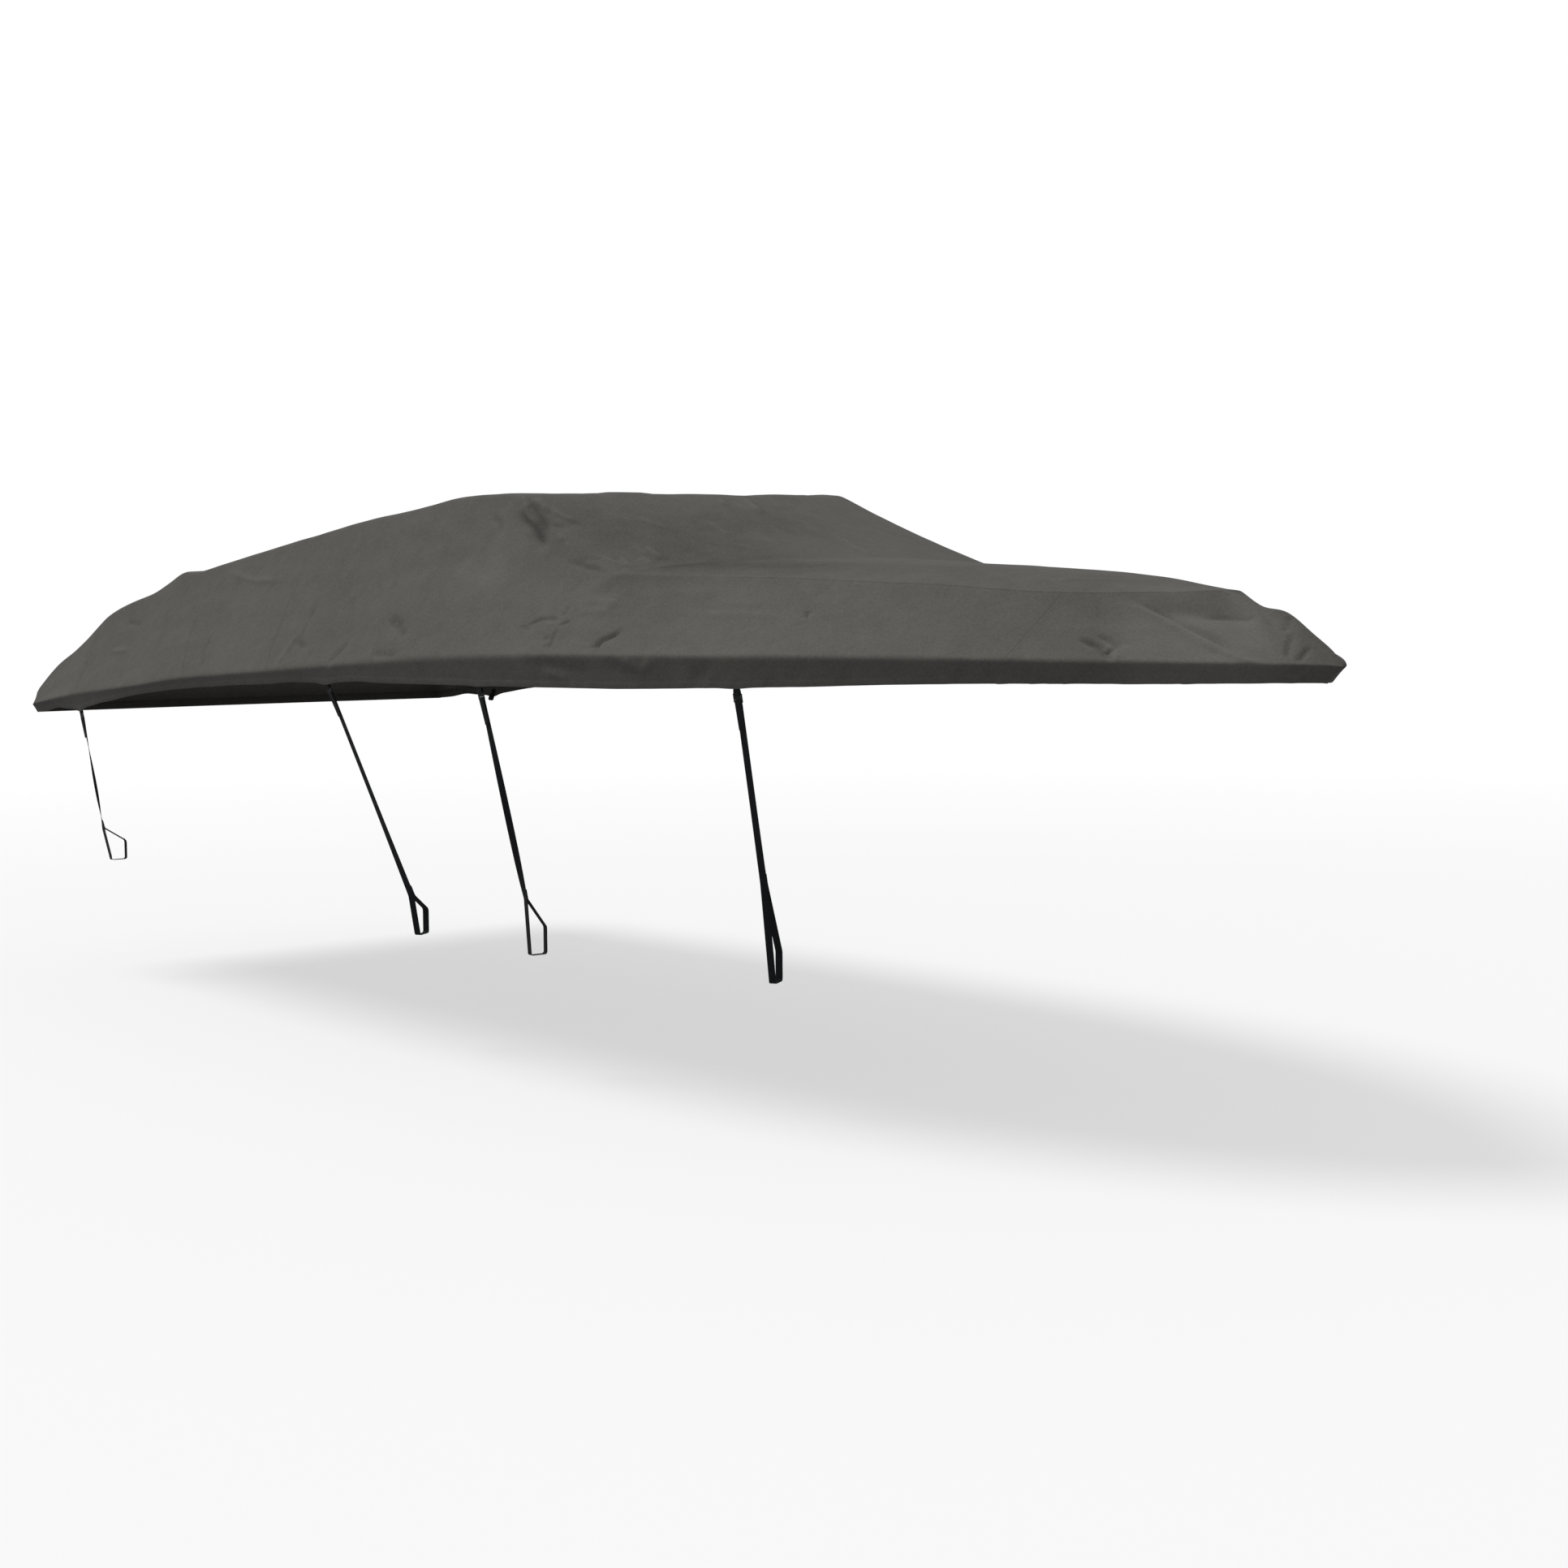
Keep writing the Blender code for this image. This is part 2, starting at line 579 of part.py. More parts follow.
def seat_in_skirt(tree, x, z, side, depth):
    """A place inside the skirt for the middle of some webbing, and the webbing's width direction."""
    ends = []
    for shift in (-WEB_WIDTH / 2, WEB_WIDTH / 2):
        start = Vector((x + shift, side * 0.5 * follow(SHOULDER, "half", x), z))
        place, normal, *_ = tree.ray_cast(start, Vector((0, side, 0)))
        if normal.y * side < 0:
            normal = -normal
        ends.append(place - normal * (SHEET + depth))
    return (ends[0] + ends[1]) / 2, (ends[1] - ends[0]).normalized()


Fitting = namedtuple("Fitting", "origin seam width down outward")


def hem_fitting(tree, x, side, target=None):
    """The frame in which a tab hangs, just below the hem: towards a target, or in the skirt's slope."""
    hem_z, depth = follow(SHOULDER, "hem_z", x), (FIRST_LAYER + SECOND_LAYER) / 2
    place, width = seat_in_skirt(tree, x, hem_z + HEM_LEVEL, side, depth)
    above = seat_in_skirt(tree, x, hem_z + TAB_ABOVE_HEM, side, depth)[0]
    slope = (place - above).normalized()
    place += slope * TAB_FLAT
    down = (target - place).normalized() if target else slope
    seam, width = width, (width - down * width.dot(down)).normalized()
    outward = width.cross(down) if width.cross(down).y * side > 0 else down.cross(width)
    return Fitting(place, seam, width, down, outward)


def tab_route(tree, x, side, fitting, half_gap, length):
    """A folded tab's points and widths: down inside the skirt, round a turn, and up inside itself."""
    z = follow(SHOULDER, "hem_z", x) + TAB_ABOVE_HEM
    hem_z = follow(SHOULDER, "hem_z", x) + HEM_LEVEL
    outer_top = seat_in_skirt(tree, x, z, side, FIRST_LAYER)[0]
    outer_hem = seat_in_skirt(tree, x, hem_z, side, FIRST_LAYER)[0]
    inner_hem = seat_in_skirt(tree, x, hem_z, side, SECOND_LAYER)[0]
    inner_top = seat_in_skirt(tree, x, z, side, SECOND_LAYER)[0]
    layer = fitting.outward * (SECOND_LAYER - FIRST_LAYER) / 2
    foot = fitting.origin + fitting.down * length
    neck = fitting.origin + fitting.down * length * 0.3
    reach = fitting.outward * half_gap
    points = rounded([
        (outer_top, 0, 0),
        (outer_hem, 0, 0),
        (fitting.origin + layer, 0, 0),
        (neck + reach, 0, 0),
        (foot + reach, half_gap, TURN_STEPS // 2),
        (foot - reach, half_gap, TURN_STEPS // 2),
        (neck - reach, 0, 0),
        (fitting.origin - layer, 0, 0),
        (inner_hem, 0, 0),
        (inner_top, 0, 0),
    ])
    sewn = [fitting.seam] * 2
    return points, sewn + [fitting.width] * (len(points) - 4) + sewn


def box_mesh(width, height, depth):
    mesh = bmesh.new()
    bmesh.ops.create_cube(mesh, size=1)
    bmesh.ops.scale(mesh, verts=mesh.verts, vec=(width, height, depth))
    return mesh


def fitting_matrix(fitting, drop):
    """A fitting's frame at a distance down from the hem: X its width, Y its way down, Z outward."""
    matrix = Matrix((fitting.width, fitting.down, fitting.width.cross(fitting.down))).transposed().to_4x4()
    matrix.translation = fitting.origin + fitting.down * drop
    return matrix


def add_buckle(name, fitting, finish, collection, cutters):
    """A flat frame with two slots: the tab goes round its top bar, the strap round its bottom bar."""
    middle = TAB_BELOW_HEM + BUCKLE_HEIGHT / 2
    buckle = add_object(name, box_mesh(BUCKLE_WIDTH, BUCKLE_HEIGHT, BUCKLE_THICK), finish, collection)
    buckle.matrix_world = fitting_matrix(fitting, middle)
    soften = buckle.modifiers.new("edges", "BEVEL")
    soften.width = BUCKLE_ROUND
    soften.segments = 1
    for sign, word in ((-1, "upper"), (1, "lower")):
        away = sign * (BUCKLE_MIDDLE + BUCKLE_SLOT) / 2
        mesh = box_mesh(BUCKLE_SLOT_WIDTH, BUCKLE_SLOT, 3 * BUCKLE_THICK)
        cutter = add_object(f"{name}_{word}_slot", mesh, finish, cutters)
        cutter.matrix_world = fitting_matrix(fitting, middle + away)
        cutter.hide_render = True
        cutter.display_type = "WIRE"
        cut = buckle.modifiers.new(f"{word}_slot", "BOOLEAN")
        cut.operation = "DIFFERENCE"
        cut.solver = "EXACT"
        cut.object = cutter
    return buckle


def strap_route(strap, fitting):
    """A strap's points and its width direction at each: tail, turn in the buckle, run and loop."""
    down, outward = fitting.down, fitting.outward
    turn = fitting.origin + down * (TAB_BELOW_HEM + BUCKLE_HEIGHT - BUCKLE_BAR - TURN_ROOM - WEB / 2)
    front, back = outward * BAR_TURN, -outward * BAR_TURN
    tail_end = turn + down * TAIL_LENGTH + back + outward * TAIL_STAND_OFF
    run = strap.join - turn
    along = run.normalized()
    leaves = turn + back + along * (BUCKLE_BAR + 0.006)
    sewn = strap.join - outward * JOIN_STAND_OFF
    inner = strap.corner + strap.base
    above_base = inner + Vector((0, 0, min(LOOP_LEG, 0.6 * (strap.join.z - inner.z))))
    head = rounded([
        (tail_end, 0, 0),
        (turn + down * (BUCKLE_BAR + 0.006) + front, 0.02, 2),
        (turn + front, BAR_TURN, TURN_STEPS // 2),
        (turn + back, BAR_TURN, TURN_STEPS // 2),
        (leaves, 0, 0),
    ])
    rest = filled(rounded([
        (leaves, 0, 0),
        (strap.join, JOIN_BEND, 3),
        (strap.corner, LOOP_TURN, 4),
        (inner, LOOP_TURN, 4),
        (above_base, 2 * LOOP_TURN, 3),
        (sewn, 2 * LOOP_TURN, 3),
        (sewn - along * SEWN_END, 0, 0),
    ]), LONGEST_STEP)[1:]
    level = strap.base.cross(Vector((0, 0, 1))).normalized()
    widths = [fitting.width] * len(head)
    for place in rest:
        share = clamp((place - turn).dot(along) / run.length)
        width = fitting.width.lerp(level, share).normalized()
        width.rotate(Quaternion(along, strap.twist * sin(pi * share ** 1.5)))
        widths.append(width)
    return head + rest, widths


def main():
    for item in list(bpy.data.objects):
        bpy.data.objects.remove(item, do_unlink=True)
    cover = bpy.data.collections.new("boat_cover")
    cutters = bpy.data.collections.new("cutters")
    for collection in (cover, cutters):
        bpy.context.scene.collection.children.link(collection)
    cloth = material("cloth", CLOTH_COLOUR, 0.9)
    webbing = material("webbing", WEBBING_COLOUR, 0.7)
    plastic = material("buckle", BUCKLE_COLOUR, 0.45)

    skin = build_skin()
    for index, panel in enumerate(PANELS):
        add_object(panel.name, panel_mesh(skin, index), cloth, cover)
    tree = BVHTree.FromBMesh(skin)
    skin.free()

    for number, strap in enumerate(STRAPS, 1):
        fitting = hem_fitting(tree, strap.hem_x, -1, strap.join)
        bar = TAB_BELOW_HEM + BUCKLE_BAR + TURN_ROOM + WEB / 2
        points, widths = tab_route(tree, strap.hem_x, -1, fitting, BAR_TURN, bar)
        ribbon(points, widths, f"tab_starboard_{number}", webbing, cover)
        add_buckle(f"buckle_{number}", fitting, plastic, cover, cutters)
        points, widths = strap_route(strap, fitting)
        ribbon(points, widths, f"strap_{number}", webbing, cover)

        fitting = hem_fitting(tree, strap.hem_x, 1)
        points, widths = tab_route(tree, strap.hem_x, 1, fitting, PORT_LOOP_RADIUS, PORT_LOOP)
        ribbon(points, widths, f"tab_port_{number}", webbing, cover)


main()
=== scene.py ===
"""Looks of the fitted boat cover: cloth, seams, webbing and buckles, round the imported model."""
from collections import namedtuple
from math import cos, pi, radians, sin, tan

import bmesh
import bpy
import numpy as np
from mathutils import Matrix, Quaternion, Vector, noise


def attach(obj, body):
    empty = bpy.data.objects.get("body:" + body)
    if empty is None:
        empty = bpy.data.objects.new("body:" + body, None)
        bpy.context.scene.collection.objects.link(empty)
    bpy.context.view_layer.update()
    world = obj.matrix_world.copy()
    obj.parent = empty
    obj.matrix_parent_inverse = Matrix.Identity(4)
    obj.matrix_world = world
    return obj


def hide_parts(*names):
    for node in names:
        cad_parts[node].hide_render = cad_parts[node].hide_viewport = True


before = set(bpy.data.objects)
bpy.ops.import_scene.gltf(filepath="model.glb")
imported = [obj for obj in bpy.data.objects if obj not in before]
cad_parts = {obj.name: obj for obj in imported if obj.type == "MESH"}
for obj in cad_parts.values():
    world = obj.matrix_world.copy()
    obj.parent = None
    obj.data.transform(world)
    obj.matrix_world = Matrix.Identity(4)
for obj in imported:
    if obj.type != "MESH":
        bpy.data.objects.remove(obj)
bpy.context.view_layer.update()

# ---- camera ----
CAMERA_PLACE = Vector((7.2310, -5.7656, -0.4425))
CAMERA_YAW = radians(40.3074)      # from the cover's length, seen from the bow
CAMERA_PITCH = radians(4.2372)     # downwards
CAMERA_ROLL = radians(-0.4323)
LENS_MM = 54

# ---- cloth: the same form as the solids ----
SHEET = 0.002            # the solids' thickness
CLOTH = 0.0015           # the cloth's own
SEAM_GAP = 0.0003
SIDE_TUCK = 0.022        # how far the hem lies inside the shoulder
BOW_TUCK = 0.067         # the same at the tip of the bow
BOW_TUCK_X = (2.0, 3.0)  # where the tuck turns from sideways to aft
STERN_X = -3.86
STERN_BOW = 0.03         # how far the stern edge bows out aft in the middle
STERN_BOW_X = -3.30      # where the bowing starts
STERN_CORNER = 0.035
STERN_HEM_Z = -0.911
CREST_X = -0.12          # the crest's top line at the ridges
TIP_X = 2.55             # the fore end of the deck panel
CREST_STEEPNESS = 1.06   # 1 is a straight fore face, more is a hollow one
CREST_HOLLOW = 0.24      # added at the starboard ridge
CREST_PORT_HOLLOW = 0.08 # added at the port ridge
DECK_FLATNESS = 2.6      # power of the deck's crown

Shoulder = namedtuple("Shoulder", "x half z hem_z")
SHOULDER = [Shoulder(*row) for row in (
    (-3.86, 1.16, -0.874, -0.911),
    (-3.6, 1.166, -0.842, -0.896),
    (-3.31, 1.173, -0.81, -0.878),
    (-2.62, 1.211, -0.758, -0.799),
    (-2.08, 1.234, -0.712, -0.758),
    (-1.45, 1.243, -0.678, -0.729),
    (-0.53, 1.241, -0.627, -0.705),
    (0.05, 1.217, -0.601, -0.704),
    (0.81, 1.138, -0.589, -0.703),
    (1.22, 1.06, -0.589, -0.695),
    (1.61, 0.95, -0.588, -0.686),
    (2.1, 0.753, -0.593, -0.672),
    (2.48, 0.543, -0.603, -0.67),
    (2.8, 0.268, -0.612, -0.671),
    (2.935, 0.112, -0.618, -0.673),
    (3, 0, -0.624, -0.674),
)]

Ridge = namedtuple("Ridge", "x half z")
RIDGE = [Ridge(*row) for row in (
    (-3.86, 1.14, -0.874),
    (-3.83, 1.135, -0.806),
    (-3.81, 1.125, -0.786),
    (-3.76, 1.08, -0.706),
    (-3.6, 1.03, -0.608),
    (-3.44, 1.005, -0.515),
    (-3.3, 1, -0.448),
    (-3.08, 0.99, -0.389),
    (-2.88, 0.97, -0.346),
    (-2.73, 0.96, -0.298),
    (-2.585, 0.95, -0.249),
    (-2.5, 0.945, -0.254),
    (-2.44, 0.94, -0.246),
    (-2.09, 0.92, -0.199),
    (-1.695, 0.9, -0.143),
    (-1.16, 0.86, -0.072),
    (-0.805, 0.84, -0.036),
    (-0.465, 0.82, 0),
    (-0.25, 0.805, -0.001),
    (-0.12, 0.8, -0.0105),
)]

LONG_SEAM = [Ridge(*row) for row in (
    (0.58, 0.88, -0.313),
    (0.75, 0.832, -0.321),
    (0.97, 0.76, -0.33),
    (1.31, 0.66, -0.34),
    (1.77, 0.53, -0.365),
    (2.165, 0.42, -0.391),
    (2.3, 0.345, -0.397),
    (2.4, 0.265, -0.398),
    (2.48, 0.17, -0.397),
    (2.53, 0.09, -0.394),
    (2.55, 0, -0.392),
)]

Centre = namedtuple("Centre", "x z")
CENTRE = [Centre(*row) for row in (
    (0.4, -0.238),
    (0.98, -0.261),
    (1.3, -0.281),
    (1.606, -0.299),
    (1.986, -0.322),
    (2.189, -0.345),
    (2.4, -0.377),
    (2.55, -0.392),
    (2.643, -0.415),
    (2.696, -0.445),
    (2.77, -0.453),
    (2.885, -0.526),
    (2.988, -0.605),
    (3, -0.624),
)]

Fullness = namedtuple("Fullness", "x crown sag lean")
FULLNESS = [Fullness(*row) for row in (
    (-3.86, 0, 0, 0),
    (-3.4, 0.01, -0.01, 0),
    (-2.6, 0.02, -0.012, 0),
    (-2.2, 0.02, -0.012, 0),
    (-0.8, 0.016, -0.014, 0.03),
    (-0.5, 0.0028, -0.014, 0.0405),
    (-0.06, -0.0076, -0.014, 0.0405),
    (0.16, -0.0083, -0.014, 0.0405),
    (0.8, 0.022, -0.012, 0.02),
    (1.7, 0.022, -0.011, 0),
    (2.2, 0.022, -0.01, 0),
    (3, 0.022, 0, 0),
)]

# Belly is how far a rib bends aft halfway up the side. Drop is 0 on the crest's top and 1 from its
# foot on.
Rib = namedtuple("Rib", "shoulder_x belly ridge_x port_shift middle_shift drop")
RIBS = {name: Rib(*row) for name, *row in (
    ("stern_1", -3.8, 0, -3.83, 0, 0, 0),
    ("stern_2", -3.785, 0, -3.805, 0, 0, 0),
    ("stern_3", -3.755, 0, -3.76, 0, 0, 0),
    ("stern_4", -3.59, 0, -3.6, 0, 0, 0),
    ("stern_seam", -3.325, 0, -3.39, 0, 0, 0),
    ("slope", -2.98, 0.01, -3.08, 0, 0, 0),
    ("below_peak", -2.6, 0.03, -2.73, 0, 0, 0),
    ("peak", -2.43, 0.03, -2.585, 0, 0, 0),
    ("dip", -2.36, 0.04, -2.52, 0, 0, 0),
    ("seam_1", -2.075, 0.05, -2.33, 0, 0, 0),
    ("seam_2", -1.315, 0.05, -1.46, 0, 0, 0),
    ("seam_3", -0.494, 0.09, -0.49, 0, 0, 0),
    ("crest_top", -0.13, 0.09, -0.12, 0, 0.28, 0),
    ("crest_foot", 0.54, 0.085, 0.58, 0.27, 0.405, 1),
    ("seam_4", 1.618, 0, 1.356, 0, 0.104, 1),
    ("seam_5", 2.257, 0.01, 2.236, 0, 0.004, 1),
    ("nose_1", 2.45, 0, 2.33, 0, 0, 1),
    ("nose_2", 2.62, 0, 2.42, 0, 0, 1),
    ("nose_3", 2.74, 0, 2.49, 0, 0, 1),
    ("nose_4", 2.82, 0, 2.53, 0, 0, 1),
    ("tip", 2.875, 0, 2.55, 0, 0, 1),
    ("bow_1", 2.91, 0, 2.64, 0, 0, 1),
    ("bow_2", 2.935, 0, 2.7, 0, 0, 1),
    ("bow_3", 2.957, 0, 2.77, 0, 0, 1),
    ("bow_4", 2.98, 0, 2.85, 0, 0, 1),
    ("bow", 3, 0, 3, 0, 0, 1),
)}

# Lines along the cover: 0 to 1 on the top, to 2 on the side, to 3 on the skirt, negative to
# starboard.
RIDGE_LINE, SHOULDER_LINE, HEM_LINE = 1, 2, 3
STARBOARD_TOP_CELLS, PORT_TOP_CELLS = 110, 40
STARBOARD_CELLS, PORT_CELLS, SKIRT_CELLS = 72, 30, 10
ROW_STEP = 0.015               # between rows along the cover
FINE_ROW_STEP = 0.010          # the same where the small creases are
FINE_X = (-0.95, 2.95)

Panel = namedtuple("Panel", "name first last low high")
PANELS = [
    Panel("panel_stern", "stern_1", "stern_seam", -HEM_LINE, HEM_LINE),
    Panel("panel_aft_1", "stern_seam", "seam_1", -HEM_LINE, HEM_LINE),
    Panel("panel_aft_2", "seam_1", "seam_2", -HEM_LINE, HEM_LINE),
    Panel("panel_aft_3", "seam_2", "seam_3", -HEM_LINE, HEM_LINE),
    Panel("panel_crest", "seam_3", "crest_foot", -HEM_LINE, HEM_LINE),
    Panel("panel_deck", "crest_foot", "tip", -RIDGE_LINE, RIDGE_LINE),
] + [
    Panel(f"side_fore_{number}_{side}", first, last, low, high)
    for side, low, high in (("starboard", -HEM_LINE, -RIDGE_LINE), ("port", RIDGE_LINE, HEM_LINE))
    for number, first, last in ((1, "crest_foot", "seam_4"), (2, "seam_4", "seam_5"), (3, "seam_5", "bow"))
]

# Folds and creases, in millimetres: how wide each is, how far it stands out, or lies in where it is
# negative, and the places that it runs through.
MM = 1000
Fold = namedtuple("Fold", "width lift places")
FOLDS = [Fold(width / MM, lift / MM, np.array(places) / MM) for width, lift, *places in (
    # main folds, as in the solids
    (300, 5.5, (-50, -520, 1), (20, -320, 3)),
    (70, 6, (-800, -850, -53), (-220, -950, -227)),
    (240, 7, (100, 100, 10), (60, 550, 30)),
    (60, -7, (-90, -835, -91), (160, -880, -236)),
    (70, 6, (340, -1080, -499), (800, -1020, -508)),
    (90, 5, (250, -90, -28), (800, 10, -204)),
    (100, 4, (1320, -500, -306), (1760, -170, -309)),
    (90, 8, (2300, 350, -399), (2800, 200, -581)),
    (100, 6, (-3350, -1080, -637), (-3500, -800, -540)),
    # crest corner
    (19, -11, (-102, -839, -77), (-58, -837, -105), (-5, -837, -134), (58, -848, -171), (139, -869, -212)),
    (16, 7.7, (-93, -819, -47), (-30, -819, -94), (33, -827, -135)),
    (17, -8.8, (-79, -795, -29), (-20, -800, -67), (48, -819, -114), (114, -836, -155)),
    (17, 11, (-75, -776, -22), (-21, -781, -46), (38, -782, -78)),
    (18, 12.1, (31, -774, -65), (103, -759, -94), (170, -746, -126)),
    (19, 6.6, (-119, -797, -12), (-53, -814, -66)),
    (18, -6.6, (-233, -856, -85), (-171, -866, -114), (-123, -887, -158)),
    (19, 5.5, (148, -839, -165), (202, -841, -187)),
    (57, -4.4, (61, -718, -68), (258, -733, -158), (478, -758, -245), (656, -754, -286)),
    (18, -5.5, (3, -809, -86), (92, -813, -122), (166, -793, -144)),
    # streaks
    (19, 8.3, (468, -790, -251), (607, -823, -299)),
    (19, 6.2, (532, -745, -252), (620, -758, -279)),
    (19, 9.3, (485, -684, -213), (645, -716, -271)),
    (23, 6, (264, -561, -99), (446, -529, -154)),
    (21, 7.2, (709, 40, -174), (856, 3, -223), (953, 10, -251)),
    (21, 6.2, (193, 19, -11), (425, -89, -83)),
    (21, 6, (185, 148, -10), (343, 71, -62)),
    (23, 6, (211, -132, -18), (312, -162, -53)),
    (23, 6, (433, -364, -116), (620, -383, -181)),
    (23, 6, (483, 45, -104), (660, -1, -158)),
    (14, 7, (-79, -762, -16), (2, -764, -55), (75, -764, -79)),
    (14, 8, (389, -829, -244), (494, -817, -274), (580, -824, -290)),
    (14, 9, (514, -699, -222), (584, -712, -247), (630, -719, -265)),
    (14, 8, (446, -705, -209), (505, -718, -234), (553, -728, -252)),
    # foot corner
    (19, -3, (332, -870, -266), (399, -847, -261), (453, -808, -256)),
    (15, -6, (280, -876, -259), (381, -877, -284), (457, -872, -300), (528, -878, -318)),
    (19, -6, (449, -794, -247), (548, -822, -284)),
    # fore seam crumple
    (13, -6.9, (298, -1087, -500), (349, -1046, -469), (414, -1035, -467), (467, -1049, -484)),
    (13, -6.1, (479, -1057, -492), (520, -1034, -475)),
    (12, -7.6, (487, -1070, -503), (514, -1113, -547), (543, -1151, -577)),
    (13, 4.6, (412, -1055, -484), (460, -1058, -492)),
    (12, -4.3, (449, -1109, -534), (488, -1102, -534)),
    (12, -4.3, (494, -1141, -564), (523, -1126, -558)),
    (13, -4.6, (269, -1081, -492), (348, -1087, -506)),
    (14, -3.8, (437, -985, -422), (462, -1028, -464)),
    (19, -15, (800, -1018, -506), (779, -1043, -525), (752, -1071, -541), (745, -1094, -562),
     (771, -1104, -574)),
    (18, 9, (726, -1087, -547), (786, -1121, -581)),
    (17, -11, (757, -1078, -546), (761, -1098, -564), (775, -1113, -579)),
    # flank bands
    (34, 5, (483, -966, -405), (706, -930, -415)),
    (34, 5, (508, -998, -442), (670, -963, -437)),
    (30, 4, (1030, -888, -453), (1203, -843, -454), (1373, -811, -460)),
    (40, 2.2, (1006, -851, -421), (1221, -788, -417), (1368, -755, -423)),
    (16, -5.4, (1452, -760, -445), (1483, -786, -468)),
    (16, -4.5, (1463, -823, -489), (1494, -809, -486)),
    (40, 2.2, (2230, -530, -502), (2403, -428, -505), (2580, -281, -509)),
    # aft flank
    (18, 4.9, (-2188, -954, -261), (-1866, -987, -297), (-1570, -1002, -308)),
    (18, 4.9, (-3076, -1092, -609), (-2874, -1102, -601)),
    (18, -4.9, (-2014, -1118, -523), (-1981, -1171, -605), (-1905, -1226, -685)),
    (16, -4.9, (-1207, -1047, -375), (-1165, -1151, -530), (-1083, -1224, -628)),
    (24, 6.5, (-1211, -1151, -530), (-1231, -1230, -646)),
    (21, -7.3, (-820, -1236, -647), (-785, -1205, -594), (-755, -1171, -541)),
    (18, -4.9, (-1231, -1167, -553), (-1057, -1187, -574)),
    (19, -8.1, (-554, -1128, -464), (-440, -1155, -500), (-332, -1179, -539)),
    (19, -6.5, (-521, -1116, -449), (-407, -1147, -494)),
    (19, -6.5, (-521, -1214, -591), (-450, -1217, -597), (-316, -1221, -604)),
    (19, -4.9, (-3018, -1031, -475), (-2840, -1048, -493)),
    (32, -2.7, (-2544, -1095, -525), (-2486, -1136, -596)),
    (18, 6.5, (-3349, -1070, -615), (-3360, -1099, -680), (-3329, -1134, -739)),
    # bow
    (22, 11, (2413, -300, -425), (2533, -271, -482), (2607, -261, -514), (2704, -253, -557),
     (2813, -234, -600), (2864, -185, -624)),
    (16, -9, (2430, -282, -425), (2498, -256, -458), (2573, -247, -487), (2646, -240, -514),
     (2696, -218, -541), (2794, -222, -584)),
    (60, -13, (2453, -264, -433), (2539, -214, -466), (2608, -137, -474), (2712, -39, -480)),
    (16, -4.5, (2596, -168, -481), (2642, -91, -484), (2718, -38, -482)),
    (20, -16, (2387, -491, -541), (2421, -474, -553), (2460, -466, -566), (2498, -476, -584),
     (2531, -498, -608)),
    (16, -9, (2424, -444, -525), (2467, -434, -542), (2525, -441, -568)),
    (12, -12, (2487, -468, -565), (2509, -473, -577)),
    (18, 6, (2460, -448, -551), (2511, -472, -575), (2547, -491, -603)),
    (14, -6.5, (2833, -26, -519), (2841, -52, -552), (2882, -124, -599)),
    (14, -6.5, (2900, -30, -562), (2900, -59, -586), (2914, -108, -609)),
    (18, -5, (2799, -2, -470), (2812, -42, -526)),
    # deck strip
    (50, -3, (2132, -225, -346), (2199, -11, -347)),
    (30, 4.5, (2097, -332, -359), (2285, -86, -361)),
    # skirt
    (40, -3, (829, -1128, -602), (878, -1111, -629), (1031, -1084, -644)),
    (22, 5, (647, -1141, -676), (608, -1147, -660), (528, -1159, -652)),
    (22, 5, (898, -1118, -602), (998, -1093, -628), (1064, -1089, -601)),
    (16, 6.3, (2311, -622, -667), (2337, -611, -654)),
    (16, 6.3, (2358, -594, -666), (2384, -583, -652)),
    (16, 6.3, (2399, -570, -664), (2426, -557, -649)),
    (18, 7.2, (2670, -349, -664), (2717, -310, -653)),
    (20, 8.1, (2875, -114, -667), (2905, -96, -647), (2938, -73, -632)),
    (18, 5.4, (2215, -673, -669), (2251, -658, -657)),
    (40, -3, (415, -1182, -606), (617, -1153, -632), (813, -1125, -646)),
    (36, -2.8, (1309, -1032, -607), (1237, -1043, -642), (1200, -1047, -668)),
)]

# Soft patches of painted shade and painted light on the cloth, as wide strips through places, in
# millimetres.
Patch = namedtuple("Patch", "width amount places")
PAINTED_SHADING_PATCHES = [Patch(width / MM, amount, np.array(places) / MM) for width, amount, *places in (
    (300, -0.18, (150, -600, -80), (450, -550, -170), (500, -100, -110), (600, 150, -130)),
    (70, -0.12, (0, -830, -120), (110, -840, -180)),
    (110, -0.08, (660, -780, -300), (950, -620, -310), (1150, -520, -320), (1300, -420, -320)),
    (45, 0.09, (580, -920, -340), (750, -870, -360), (970, -800, -370), (1310, -700, -380)),
    (50, -0.08, (500, -880, -300), (620, -830, -300), (720, -720, -280), (950, -300, -240)),
    (240, -0.2, (540, -780, -270), (670, -620, -250), (810, -450, -250), (1070, -340, -270)),
    (160, -0.14, (20, -610, -20), (180, -690, -110), (320, -740, -180), (460, -740, -230)),
    (200, 0.2, (-250, -820, -30), (-80, -870, -150), (-120, -970, -280), (-360, -1000, -290)),
    (160, 0.12, (-280, -1000, -290), (160, -970, -350), (660, -940, -410)),
    (50, -0.24, (-80, -800, -30), (10, -820, -100), (100, -850, -190)),
    (350, 0.34, (2420, -450, -500), (2600, -300, -500), (2900, -80, -560)),
    (300, -0.07, (1600, -300, -300), (2400, -100, -380)),
)]
CREASE_PAINTED_SHADING = 22.0       # painted shade in a fine fold for each metre of depth, painted highlight for each metre of height
CREASE_PAINTED_SHADING_LIMITS = (-0.24, 0.16)
DECK_EDGE_PAINTED_SHADE = -0.24   # painted shade on the deck panel, along its starboard seam
DECK_EDGE_AWAY, DECK_EDGE_REACH = 0.24, 0.26
DECK_EDGE_SHOWS = ((0.55, 0.6), (0.75, 1.0), (1.20, 1.0), (1.90, 0.0))

